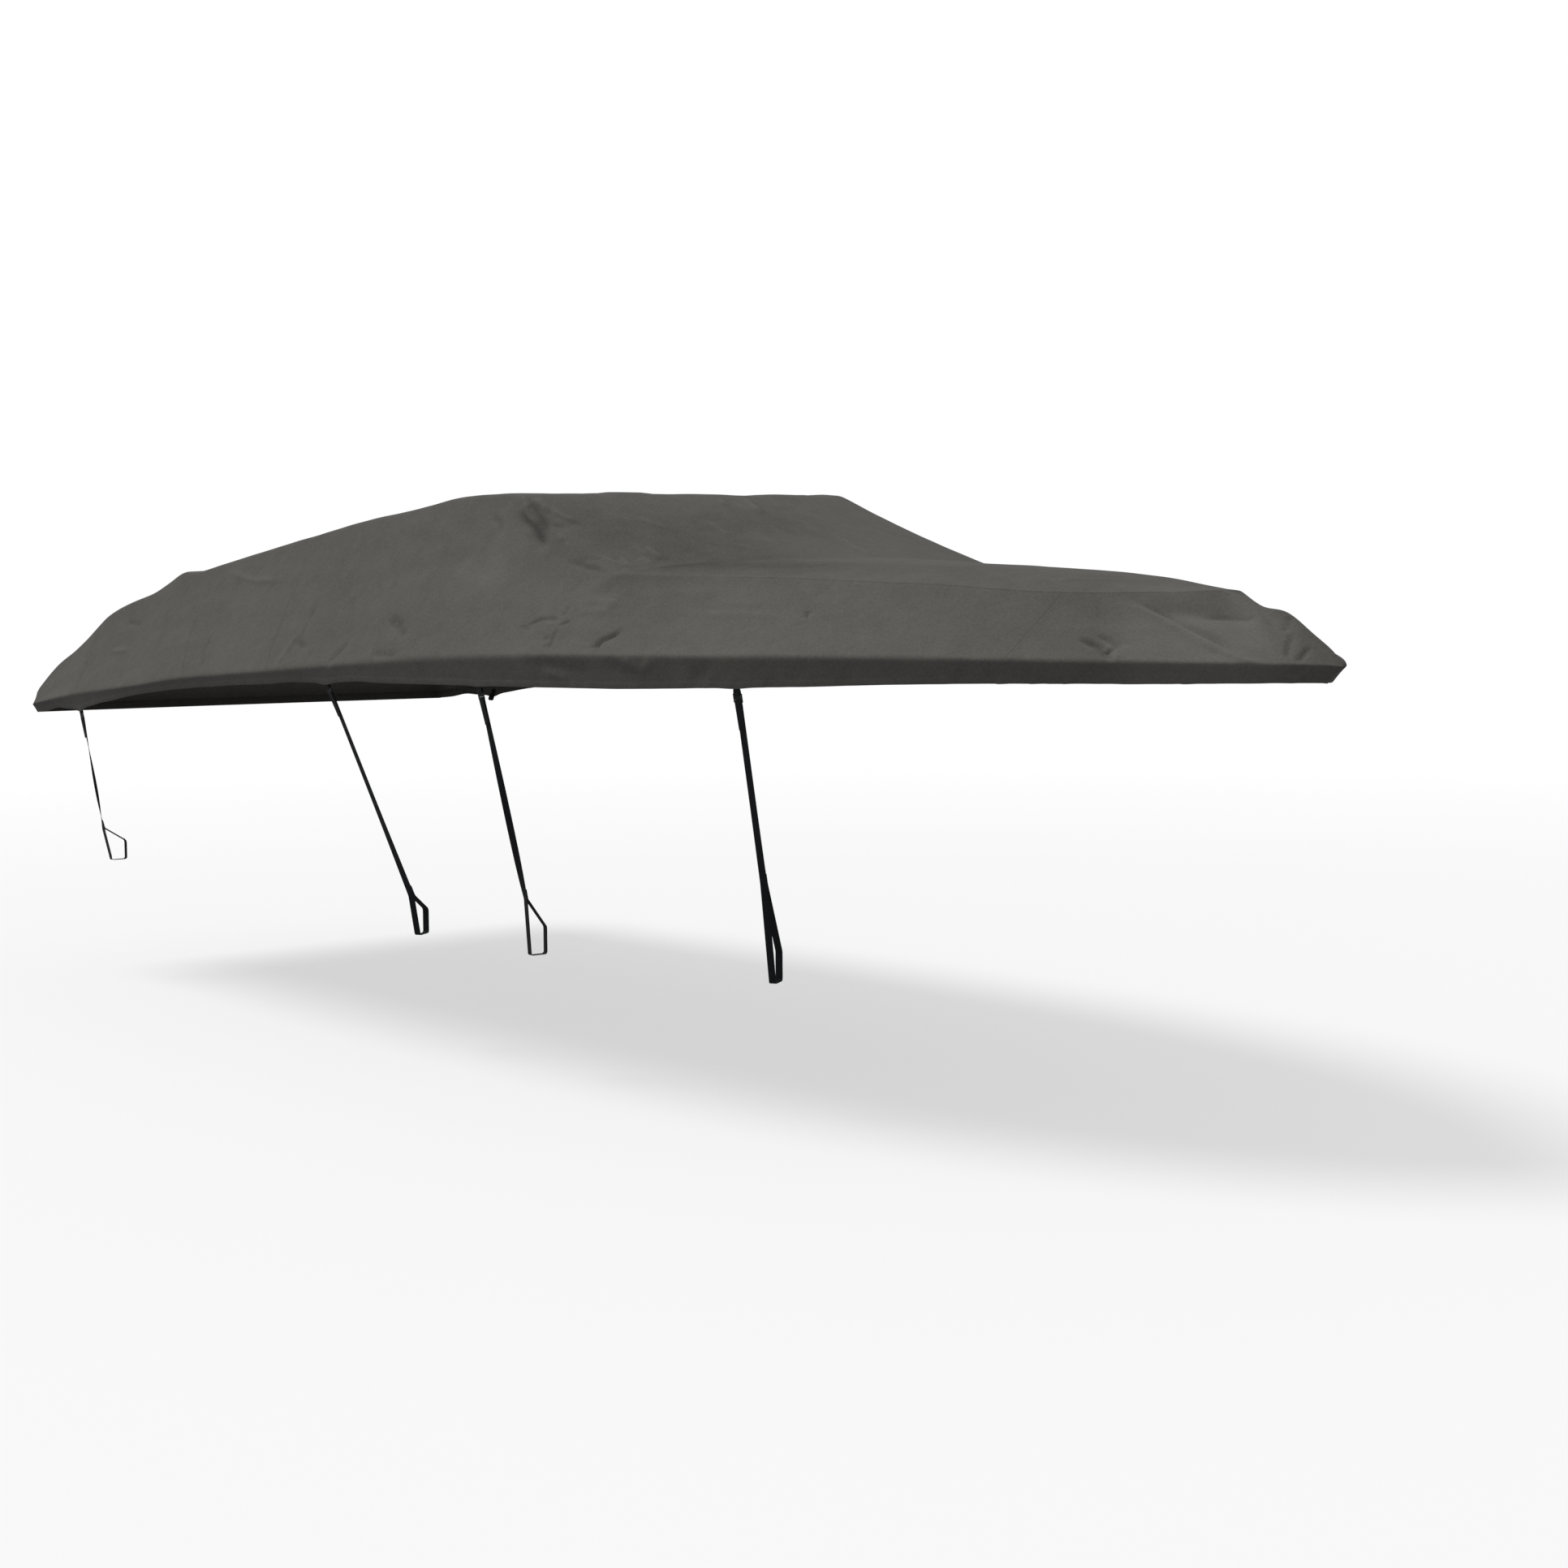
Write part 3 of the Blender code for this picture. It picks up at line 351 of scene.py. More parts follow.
# ---- webbing ----
WEB_WIDTH = 0.025
WEB = 0.002              # its thickness
TAB_ABOVE_HEM = 0.022    # sewn length inside the skirt
TAB_BELOW_HEM = 0.014    # from there to the buckle's top bar
PORT_LOOP = 0.030        # how far an empty tab hangs from there
PORT_LOOP_RADIUS = 0.008
TURN_STEPS = 12          # facets of a half turn round a bar
BUCKLE_WIDTH = 0.035
BUCKLE_THICK = 0.0035
BUCKLE_SLOT_WIDTH = 0.0275
BUCKLE_BAR = 0.005
BUCKLE_SLOT = 0.0037
BUCKLE_MIDDLE = 0.0126    # height of the bar between the slots
BUCKLE_ROUND = 0.0009
BUCKLE_HEIGHT = 2 * (BUCKLE_BAR + BUCKLE_SLOT) + BUCKLE_MIDDLE
BAR_CLEARANCE = 0.0006   # between a bar's flat sides and the webbing round it
TURN_ROOM = 0.0013       # between a bar's edge and the webbing's turn
BAR_TURN = BUCKLE_THICK / 2 + BAR_CLEARANCE + WEB / 2
TAIL_LENGTH = 0.10       # free end that hangs in front of the strap
TAIL_STAND_OFF = 0.0035  # between the middles of tail and strap at the tail's end
JOIN_STAND_OFF = 0.0032  # between the middles of the strap and the end sewn back to it
LOOP_TURN = 0.010        # radius of the webbing at the loop's corners
LOOP_LEG = 0.10          # height of the loop's straight inner leg
JOIN_BEND = 0.03         # radius of the strap's bend where its loop begins
SEWN_END = 0.035         # length of the loop's end that is sewn back to the strap
WEB_STEP = 0.012         # between two points of a straight run
FIRST_LAYER = SEAM_GAP * 1.5 + WEB / 2            # depths inside the skirt of a tab's two layers
SECOND_LAYER = FIRST_LAYER + WEB + 2 * SEAM_GAP
HEM_LEVEL = 0.003                                 # where the tab leaves the skirt, above the hem
SOLID_SKIRT_SWELL = 1.2                           # over 1, so that the solids' skirt turns in low down
TAB_FLAT = 0.009                                  # how far it hangs on from there in the skirt's slope

Strap = namedtuple("Strap", "hem_x join corner base twist")
STRAPS = [Strap(hem_x, Vector(join), Vector(corner), Vector(base), twist)
          for hem_x, join, corner, base, twist in (
    (-3.309, (-3.2, -1.1, -1.437), (-3.12, -1.1, -1.581), (0, 0.072, 0), 0.9),
    (-0.869, (-0.58, -1.03, -1.53), (-0.578, -1.005, -1.687), (-0.04, 0.062, 0), 0.2),
    (0.159, (0.22, -1.04, -1.473), (0.169, -0.991, -1.687), (0.004, 0.066, 0), -0.7),
    (1.375, (1.33, -0.85, -1.341), (1.27, -0.765, -1.687), (-0.035, 0.058, 0), 0.1),
)]


def blend(low, high, share):
    return low + (high - low) * share


def clamp(value):
    return min(max(value, 0.0), 1.0)


def curve(rows, column):
    """A smooth curve through one column of a table, which never overshoots the rows."""
    places = np.array([row.x for row in rows])
    values = np.array([getattr(row, column) for row in rows])
    step = np.diff(places)
    chord = np.diff(values) / step
    tangent = np.append(chord[:1], np.append(np.zeros(len(rows) - 2), chord[-1:]))
    for i in range(1, len(rows) - 1):
        before, after, back, ahead = chord[i - 1], chord[i], step[i - 1], step[i]
        if before * after > 0:
            weights = (2 * ahead + back) / before + (ahead + 2 * back) / after
            tangent[i] = 3 * (back + ahead) / weights

    def at(x):
        x = np.clip(x, places[0], places[-1])
        k = np.clip(np.searchsorted(places, x, side="right") - 1, 0, len(places) - 2)
        t = (x - places[k]) / step[k]
        return ((1 + 2 * t) * (1 - t) ** 2 * values[k] + t * (1 - t) ** 2 * step[k] * tangent[k]
                + t * t * (3 - 2 * t) * values[k + 1] + t * t * (t - 1) * step[k] * tangent[k + 1])
    return at


shoulder_half, shoulder_z, hem_height = (curve(SHOULDER, c) for c in ("half", "z", "hem_z"))
ridge_half, ridge_z = (curve(RIDGE, c) for c in ("half", "z"))
seam_half, seam_z = (curve(LONG_SEAM, c) for c in ("half", "z"))
centre_z = curve(CENTRE, "z")
crown, sag, lean = (curve(FULLNESS, c) for c in ("crown", "sag", "lean"))


# ---- webbing routes ----
def shoulder_place(x, side):
    """A point of the shoulder line, and the way from there to the hem in plan."""
    aft = clamp((x - BOW_TUCK_X[0]) / (BOW_TUCK_X[1] - BOW_TUCK_X[0]))
    narrow = min(1, shoulder_half(x) / STERN_CORNER)
    tuck = Vector((-BOW_TUCK * aft, -side * SIDE_TUCK * (1 - aft) * narrow, 0))
    return Vector((x, side * shoulder_half(x), shoulder_z(x))), tuck


def skirt_place(x, z, side):
    """The skirt's outer face at a length and a height."""
    shoulder, tuck = shoulder_place(x, side)
    share = (shoulder.z - z) / (shoulder.z - hem_height(x))
    place = shoulder + tuck * share ** SOLID_SKIRT_SWELL
    place.z = z
    return place


def seat_in_skirt(x, z, side, depth):
    """A place inside the skirt for the middle of some webbing, and the webbing's width direction."""
    fore, aft = skirt_place(x + WEB_WIDTH / 2, z, side), skirt_place(x - WEB_WIDTH / 2, z, side)
    along = (fore - aft).normalized()
    up = (skirt_place(x, z + 0.004, side) - skirt_place(x, z - 0.004, side)).normalized()
    outward = along.cross(up) * -side
    return (fore + aft) / 2 - outward.normalized() * (SHEET + depth), along


Fitting = namedtuple("Fitting", "origin seam width down outward")


def hem_fitting(x, side, target=None):
    """The frame in which a tab hangs, just below the hem: towards a target, or in the skirt's slope."""
    hem_z, depth = hem_height(x), (FIRST_LAYER + SECOND_LAYER) / 2
    place, width = seat_in_skirt(x, hem_z + HEM_LEVEL, side, depth)
    above = seat_in_skirt(x, hem_z + TAB_ABOVE_HEM, side, depth)[0]
    slope = (place - above).normalized()
    place += slope * TAB_FLAT
    down = (target - place).normalized() if target else slope
    seam, width = width, (width - down * width.dot(down)).normalized()
    outward = width.cross(down) if width.cross(down).y * side > 0 else down.cross(width)
    return Fitting(place, seam, width, down, outward)


def rounded(corners):
    """A route's points: corners given as (point, radius, steps), each turned with an arc."""
    points = [corners[0][0]]
    for (before, *_), (corner, radius, steps), (after, *_) in zip(corners, corners[1:], corners[2:]):
        back, ahead = (before - corner).normalized(), (after - corner).normalized()
        half = back.angle(ahead) / 2
        if radius == 0:
            points.append(corner)
            continue
        centre = corner + (back + ahead).normalized() * (radius / sin(half))
        start = (corner + back * (radius / tan(half)) - centre).normalized()
        end = (corner + ahead * (radius / tan(half)) - centre).normalized()
        for step in range(steps + 1):
            points.append(centre + start.slerp(end, step / steps) * radius)
    return points + [corners[-1][0]]


def filled(points, longest):
    """The same route, with its long straight runs divided into even steps."""
    found = [points[0]]
    for before, after in zip(points, points[1:]):
        count = int((after - before).length / longest) + 1
        found += [before.lerp(after, step / count) for step in range(1, count + 1)]
    return found


def tab_route(x, side, fitting, half_gap, length):
    """A folded tab's points and widths: down inside the skirt, round a turn, and up inside itself."""
    (outer_top, inner_top), (outer_hem, inner_hem) = (
        [seat_in_skirt(x, hem_height(x) + above, side, depth)[0] for depth in (FIRST_LAYER, SECOND_LAYER)]
        for above in (TAB_ABOVE_HEM, HEM_LEVEL))
    layer = fitting.outward * (SECOND_LAYER - FIRST_LAYER) / 2
    foot = fitting.origin + fitting.down * length
    neck = fitting.origin + fitting.down * length * 0.3
    reach = fitting.outward * half_gap
    points = rounded([
        (outer_top, 0, 0),
        (outer_hem, 0, 0),
        (fitting.origin + layer, 0, 0),
        (neck + reach, 0, 0),
        (foot + reach, half_gap, TURN_STEPS // 2),
        (foot - reach, half_gap, TURN_STEPS // 2),
        (neck - reach, 0, 0),
        (fitting.origin - layer, 0, 0),
        (inner_hem, 0, 0),
        (inner_top, 0, 0),
    ])
    sewn = [fitting.seam] * 2
    return points, sewn + [fitting.width] * (len(points) - 4) + sewn


def strap_route(strap, fitting):
    """A strap's points and its width direction at each: tail, turn in the buckle, run and loop."""
    down, outward = fitting.down, fitting.outward
    turn = fitting.origin + down * (TAB_BELOW_HEM + BUCKLE_HEIGHT - BUCKLE_BAR - TURN_ROOM - WEB / 2)
    front, back = outward * BAR_TURN, -outward * BAR_TURN
    tail_end = turn + down * TAIL_LENGTH + back + outward * TAIL_STAND_OFF
    run = strap.join - turn
    along = run.normalized()
    leaves = turn + back + along * (BUCKLE_BAR + 0.006)
    sewn = strap.join - outward * JOIN_STAND_OFF
    inner = strap.corner + strap.base
    above_base = inner + Vector((0, 0, min(LOOP_LEG, 0.6 * (strap.join.z - inner.z))))
    head = filled(rounded([
        (tail_end, 0, 0),
        (turn + down * (BUCKLE_BAR + 0.006) + front, 0.02, 4),
        (turn + front, BAR_TURN, TURN_STEPS // 2),
        (turn + back, BAR_TURN, TURN_STEPS // 2),
        (leaves, 0, 0),
    ]), WEB_STEP)
    rest = filled(rounded([
        (leaves, 0, 0),
        (strap.join, JOIN_BEND, 6),
        (strap.corner, LOOP_TURN, 8),
        (inner, LOOP_TURN, 8),
        (above_base, 2 * LOOP_TURN, 6),
        (sewn, 2 * LOOP_TURN, 6),
        (sewn - along * SEWN_END, 0, 0),
    ]), WEB_STEP)[1:]
    level = strap.base.cross(Vector((0, 0, 1))).normalized()
    widths = [fitting.width] * len(head)
    for place in rest:
        share = clamp((place - turn).dot(along) / run.length)
        width = fitting.width.lerp(level, share).normalized()
        width.rotate(Quaternion(along, strap.twist * sin(pi * share ** 1.5)))
        widths.append(width)
    return head + rest, widths


def route_length(points):
    return sum((b - a).length for a, b in zip(points, points[1:]))


def fitting_matrix(fitting, drop):
    """A fitting's frame at a distance down from the hem: X its width, Y its way down, Z outward."""
    matrix = Matrix((fitting.width, fitting.down, fitting.width.cross(fitting.down))).transposed().to_4x4()
    matrix.translation = fitting.origin + fitting.down * drop
    return matrix


# ---- pieces ----
def add_piece(name, mesh, finish, node):
    """Makes a piece from a bmesh, in place of one CAD node."""
    data = bpy.data.meshes.new(name)
    mesh.to_mesh(data)
    mesh.free()
    data.materials.append(finish)
    data.shade_smooth()
    piece = bpy.data.objects.new(name, data)
    bpy.context.scene.collection.objects.link(piece)
    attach(piece, "root")
    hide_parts(node)
    return piece


ACROSS = (-0.5, -0.43, -0.2, 0.0, 0.2, 0.43, 0.5)    # places across the webbing's width
EDGE_THIN = 0.35                                     # how much thinner its edges are


def webbing_mesh(points, widths):
    """A closed strip of webbing along points, a little thinner at its two edges."""
    mesh = bmesh.new()
    bmesh.ops.create_grid(mesh, x_segments=len(points) - 1, y_segments=len(ACROSS) - 1, size=0.5)
    run = np.cumsum([0] + [(b - a).length for a, b in zip(points, points[1:])])
    index = {}
    for vert in mesh.verts:
        index[vert] = (round((vert.co.x + 0.5) * (len(points) - 1)),
                       round((vert.co.y + 0.5) * (len(ACROSS) - 1)))
    frames = []
    for i, (place, width) in enumerate(zip(points, widths)):
        along = points[min(i + 1, len(points) - 1)] - points[max(i - 1, 0)]
        across = (width - along * width.dot(along) / along.length_squared).normalized()
        frames.append((place, across, across.cross(along).normalized()))
    uv = mesh.loops.layers.uv.new("weave")
    for face in mesh.faces:
        for loop in face.loops:
            i, j = index[loop.vert]
            loop[uv].uv = (run[i], ACROSS[j] * WEB_WIDTH)
    sides = {}
    for vert, (i, j) in index.items():
        place, across, out = frames[i]
        vert.co = place + across * WEB_WIDTH * ACROSS[j]
        sides[vert] = out * WEB * (0.5 if 0 < j < len(ACROSS) - 1 else 0.5 * (1 - EDGE_THIN))
    top = list(mesh.faces)
    copy = bmesh.ops.duplicate(mesh, geom=list(mesh.verts) + list(mesh.edges) + top)
    twin = {a: b for a, b in copy["vert_map"].items() if a in sides}
    borders = [edge for edge in mesh.edges if edge.is_boundary]
    for vert, lift in sides.items():
        twin[vert].co = vert.co - lift
        vert.co += lift
    bmesh.ops.bridge_loops(mesh, edges=borders)
    bmesh.ops.recalc_face_normals(mesh, faces=mesh.faces)
    return mesh


def buckle_mesh():
    """A flat frame with two slots, with rounded edges."""
    columns = (-BUCKLE_WIDTH / 2, -BUCKLE_SLOT_WIDTH / 2, BUCKLE_SLOT_WIDTH / 2, BUCKLE_WIDTH / 2)
    heights = np.cumsum((0, BUCKLE_BAR, BUCKLE_SLOT, BUCKLE_MIDDLE, BUCKLE_SLOT, BUCKLE_BAR))
    mesh = bmesh.new()
    bmesh.ops.create_grid(mesh, x_segments=3, y_segments=5, size=0.5)
    for vert in mesh.verts:
        vert.co.x = columns[round((vert.co.x + 0.5) * 3)]
        vert.co.y = heights[round((vert.co.y + 0.5) * 5)] - BUCKLE_HEIGHT / 2
    slots = [face for face in mesh.faces
             if abs(face.calc_center_median().x) < 0.001
             and abs(abs(face.calc_center_median().y) - (BUCKLE_MIDDLE + BUCKLE_SLOT) / 2) < 0.001]
    bmesh.ops.delete(mesh, geom=slots, context="FACES_ONLY")
    whole = bmesh.ops.extrude_face_region(mesh, geom=list(mesh.faces))
    raised = [item for item in whole["geom"] if isinstance(item, bmesh.types.BMVert)]
    bmesh.ops.translate(mesh, verts=raised, vec=(0, 0, BUCKLE_THICK))
    bmesh.ops.translate(mesh, verts=mesh.verts, vec=(0, 0, -BUCKLE_THICK / 2))
    bmesh.ops.recalc_face_normals(mesh, faces=mesh.faces)
    sharp = [edge for edge in mesh.edges if edge.calc_face_angle(0) > 0.5]
    bmesh.ops.bevel(mesh, geom=sharp, offset=BUCKLE_ROUND, segments=3, profile=0.5,
                    affect="EDGES", material=-1, clamp_overlap=True)
    return mesh


# ---- the cover's surface ----
def ridge_place(rib, side):
    """Where a rib crosses the ridge on one side, aft of the crest's face or fore of its foot."""
    x = rib.ridge_x + (rib.port_shift if side > 0 else 0)
    if x <= CREST_X:
        half, z = ridge_half(x), ridge_z(x)
    elif x < TIP_X:
        half, z = seam_half(x), seam_z(x)
    else:
        half, z = 0.0, centre_z(x)
    if side > 0 and x < TIP_X:
        z += lean(x)
    return np.array((x, side * half, z))


def top_places(rib, lines):
    """Points between the ridges, on the flat top or on the deck."""
    share = np.minimum(abs(lines), 1)
    ridge = np.where((lines > 0)[:, None], ridge_place(rib, 1), ridge_place(rib, -1))
    x = blend(rib.ridge_x + rib.middle_shift, ridge[:, 0], share ** 2)
    if rib.drop == 0:
        middle = ridge_z(x) + crown(x) + lean(x) / 2
        z = blend(middle, ridge[:, 2], share ** 2)
    else:
        z = blend(centre_z(x), ridge[:, 2], share ** DECK_FLATNESS)
    return np.stack((x, ridge[:, 1] * share, z), axis=1)


def crest_places(rib, lines):
    """Points between the ridges: the crest's fore face runs from its top line to its foot line."""
    if rib.drop in (0, 1):
        return top_places(rib, lines)
    top, foot = top_places(RIBS["crest_top"], lines), top_places(RIBS["crest_foot"], lines)
    hollow = CREST_STEEPNESS + np.where(lines < 0, CREST_HOLLOW, CREST_PORT_HOLLOW) * lines ** 2
    places = blend(top, foot, rib.drop)
    places[:, 2] = blend(foot[:, 2], top[:, 2], (1 - rib.drop) ** hollow)
    return places


def stern_bow(places):
    """Bows the stern's upper surface out aft, most in the middle of the edge."""
    aft = np.clip((STERN_BOW_X - places[..., 0]) / (STERN_BOW_X - STERN_X), 0, 1)
    middle = np.clip(1 - (places[..., 1] / SHOULDER[0].half) ** 2, 0, 1)
    places[..., 0] -= STERN_BOW * aft * middle
    return places


SKIRT_SWELL = 0.8        # under 1, so that the skirt turns in just below the shoulder


def rib_places(rib, lines):
    """A rib's points at all lines, hem to hem."""
    side, away = np.where(lines > 0, 1, -1), abs(lines)
    places = stern_bow(crest_places(rib, lines))
    x = rib.shoulder_x
    shoulder = np.stack((np.full(len(lines), x), side * shoulder_half(x),
                         np.full(len(lines), shoulder_z(x))), axis=1)
    ridge = crest_places(rib, side.astype(float))
    share = np.clip(away - RIDGE_LINE, 0, 1)[:, None]
    belly = (4 * share * (1 - share))[:, 0]
    flank = blend(ridge, shoulder, share)
    flank[:, 0] -= rib.belly * belly
    flank[:, 2] += sag(flank[:, 0]) * belly
    aft = clamp((x - BOW_TUCK_X[0]) / (BOW_TUCK_X[1] - BOW_TUCK_X[0]))
    tuck = SIDE_TUCK * (1 - aft) * min(1, shoulder_half(x) / STERN_CORNER)
    down = np.clip(away - SHOULDER_LINE, 0, 1)
    skirt = shoulder.copy()
    skirt[:, 0] -= BOW_TUCK * aft * down ** SKIRT_SWELL
    skirt[:, 1] -= side * tuck * down ** SKIRT_SWELL
    skirt[:, 2] = blend(shoulder_z(x), hem_height(x), down)
    on_flank = (away > RIDGE_LINE) & (away <= SHOULDER_LINE)
    places[on_flank] = flank[on_flank]
    places[away > SHOULDER_LINE] = skirt[away > SHOULDER_LINE]
    return places


def stern_edge(lines):
    """The stern edge: across the middle up to line 1, then round the corner up to line 2."""
    side, away = np.where(lines > 0, 1, -1), abs(lines)
    turn = np.clip(away - RIDGE_LINE, 0, 1) * pi / 2
    inward = np.stack((np.cos(turn), -side * np.sin(turn), 0 * turn), axis=1)
    centre = np.stack((np.full(len(lines), STERN_X + STERN_CORNER),
                       side * (SHOULDER[0].half - STERN_CORNER) * np.minimum(away, 1),
                       np.full(len(lines), SHOULDER[0].z)), axis=1)
    return stern_bow(centre - inward * STERN_CORNER), inward


def stern_places(lines):
    edge, inward = stern_edge(np.clip(lines, -SHOULDER_LINE, SHOULDER_LINE))
    down = np.clip(abs(lines) - SHOULDER_LINE, 0, 1)
    edge += inward * (SIDE_TUCK * down ** SKIRT_SWELL)[:, None]
    edge[:, 2] = blend(edge[:, 2], STERN_HEM_Z, down)
    return edge


def surface_rows():
    """The ribs with even steps between the named ones, and the row number of each named one."""
    names, ribs, first = list(RIBS), [], {}
    for a, b in zip(names, names[1:]):
        first[a] = len(ribs) + 1
        low, high = RIBS[a], RIBS[b]
        reach = max(high.shoulder_x - low.shoulder_x,
                    high.ridge_x + high.middle_shift - low.ridge_x - low.middle_shift)
        fine = FINE_X[0] < (low.ridge_x + high.ridge_x) / 2 < FINE_X[1]
        count = max(2, int(reach / (FINE_ROW_STEP if fine else ROW_STEP) + 0.5))
        ribs += [Rib(*(blend(p, q, k / count) for p, q in zip(low, high))) for k in range(count)]
    first[names[-1]] = len(ribs) + 1
    return ribs + [RIBS[names[-1]]], first


def surface_lines():
    """The lines across the cover, from the starboard hem to the port hem."""
    top = np.append(np.linspace(-1, 0, STARBOARD_TOP_CELLS + 1), np.linspace(0, 1, PORT_TOP_CELLS + 1)[1:])
    flank = np.linspace(1, 2, STARBOARD_CELLS + 1)[1:]
    port = np.linspace(1, 2, PORT_CELLS + 1)[1:]
    skirt = np.linspace(2, 3, SKIRT_CELLS + 1)[1:]
    return np.concatenate((-skirt[::-1], -flank[::-1], top, port, skirt))


# How strongly each pass rounds the surface across the cover: everywhere, more at the shoulder, and
# more at the ridges aft of the crest's foot.
SOFTEN_PASSES = 8
SOFTEN_ALL, SOFTEN_SHOULDER, SOFTEN_RIDGE = 0.08, 0.12, 0.05
SHOULDER_ROUND, RIDGE_ROUND = 0.07, 0.12       # how far that reaches from those two lines
BOW_SOFTER = 2.5         # how much more the shoulder is rounded at the bow
BOW_SOFTER_X, BOW_SOFTER_REACH = 1.2, 1.5
STERN_LEAST = 0.2        # share of it at the stern edge
SOFTEN_ALONG = 0.5       # along the cover, but for the peak and the stern edge
PEAK_X, PEAK_REACH = -2.56, 0.05
STERN_ROWS = 6


def soften(points, axis, weight, passes):
    """Draws each point towards the middle of its two neighbours along an axis, by its weight."""
    points = np.moveaxis(points, axis, 0)
    weight = np.moveaxis(weight, axis, 0)[1:-1, :, None]
    for _ in range(passes):
        middle = (points[:-2] + points[2:]) / 2
        points[1:-1] += (middle - points[1:-1]) * weight
    return np.moveaxis(points, 0, axis)


def normals_of(points):
    across = np.cross(np.gradient(points, axis=0), np.gradient(points, axis=1))
    size = np.linalg.norm(across, axis=2, keepdims=True)
    return across / np.maximum(size, 1e-9)


def near(values, place, reach):
    return np.exp(-2 * ((values - place) / reach) ** 2)


FINE_FOLD = 0.050        # folds up to this width also get painted shade in their depth and a painted highlight on their ridge
END_STRENGTH = 0.05      # of a strip at its two ends
END_FADE = 4             # how fast it grows from there, in shares of the strip's length


def strips(points, table):
    """The strength of each row of a table over the points: 1 along its places, less around them."""
    for row in table:
        anchors = []
        for place in row.places:
            apart = np.linalg.norm(points - place, axis=2)
            anchors.append(points[np.unravel_index(np.argmin(apart), apart.shape)])
        lengths = np.cumsum([0] + [np.linalg.norm(b - a) for a, b in zip(anchors, anchors[1:])])
        nearest, place = np.full(points.shape[:2], 9.0), np.zeros(points.shape[:2])
        for k, (a, b) in enumerate(zip(anchors, anchors[1:])):
            run = b - a
            t = np.clip(((points - a) @ run) / max(run @ run, 1e-9), 0, 1)
            away = np.linalg.norm(points - a - t[..., None] * run, axis=2)
            closer = away < nearest
            nearest[closer] = away[closer]
            place[closer] = (blend(lengths[k], lengths[k + 1], t) / lengths[-1])[closer]
        strength = np.minimum(1, END_STRENGTH + END_FADE * np.minimum(place, 1 - place))
        yield row, strength * near(nearest, 0, row.width)


# Where the hem is drawn down by a strap, or arches up between two: x, height, reach.
HEM_PULLS = (
    (-3.309, -0.024, 0.045),
    (-3.56, 0.013, 0.12),
    (-3.05, 0.004, 0.15),
    (-0.869, -0.012, 0.06),
    (-1.15, 0.005, 0.15),
    (-0.62, 0.004, 0.13),
    (0.159, -0.004, 0.06),
    (1.375, -0.004, 0.06),
)
GATHER = 0.003           # height of the small diagonal gathers above the hem
GATHER_X = (0.55, 2.85)
GATHER_PITCH = 0.058
GATHER_SLANT = 0.9       # pitches by which a gather leans between the shoulder and the hem
GATHER_FADE = (0.4, 0.2) # lengths over which they start and end

# Slack in the cloth: height, waves a metre along and across, and the noise's seed.
LONG_WAVES = (0.0040, 2.2, 3.6, 1.0)
SHORT_WAVES = (0.0014, 8, 9, 2.0)
FLANK_WAVES = (0.0026, 1.3, 10, 3.0)
GATHER_SEED = 4.0


def rolling(s, t, seed):
    """Smooth noise between -1 and 1 at places given as arrays."""
    found = [noise.noise((a, b, seed)) for a, b in zip(s.ravel(), t.ravel())]
    return np.array(found).reshape(s.shape)


def slack(s, t, height, along, across, seed):
    return height * rolling(s * along, t * across, seed)


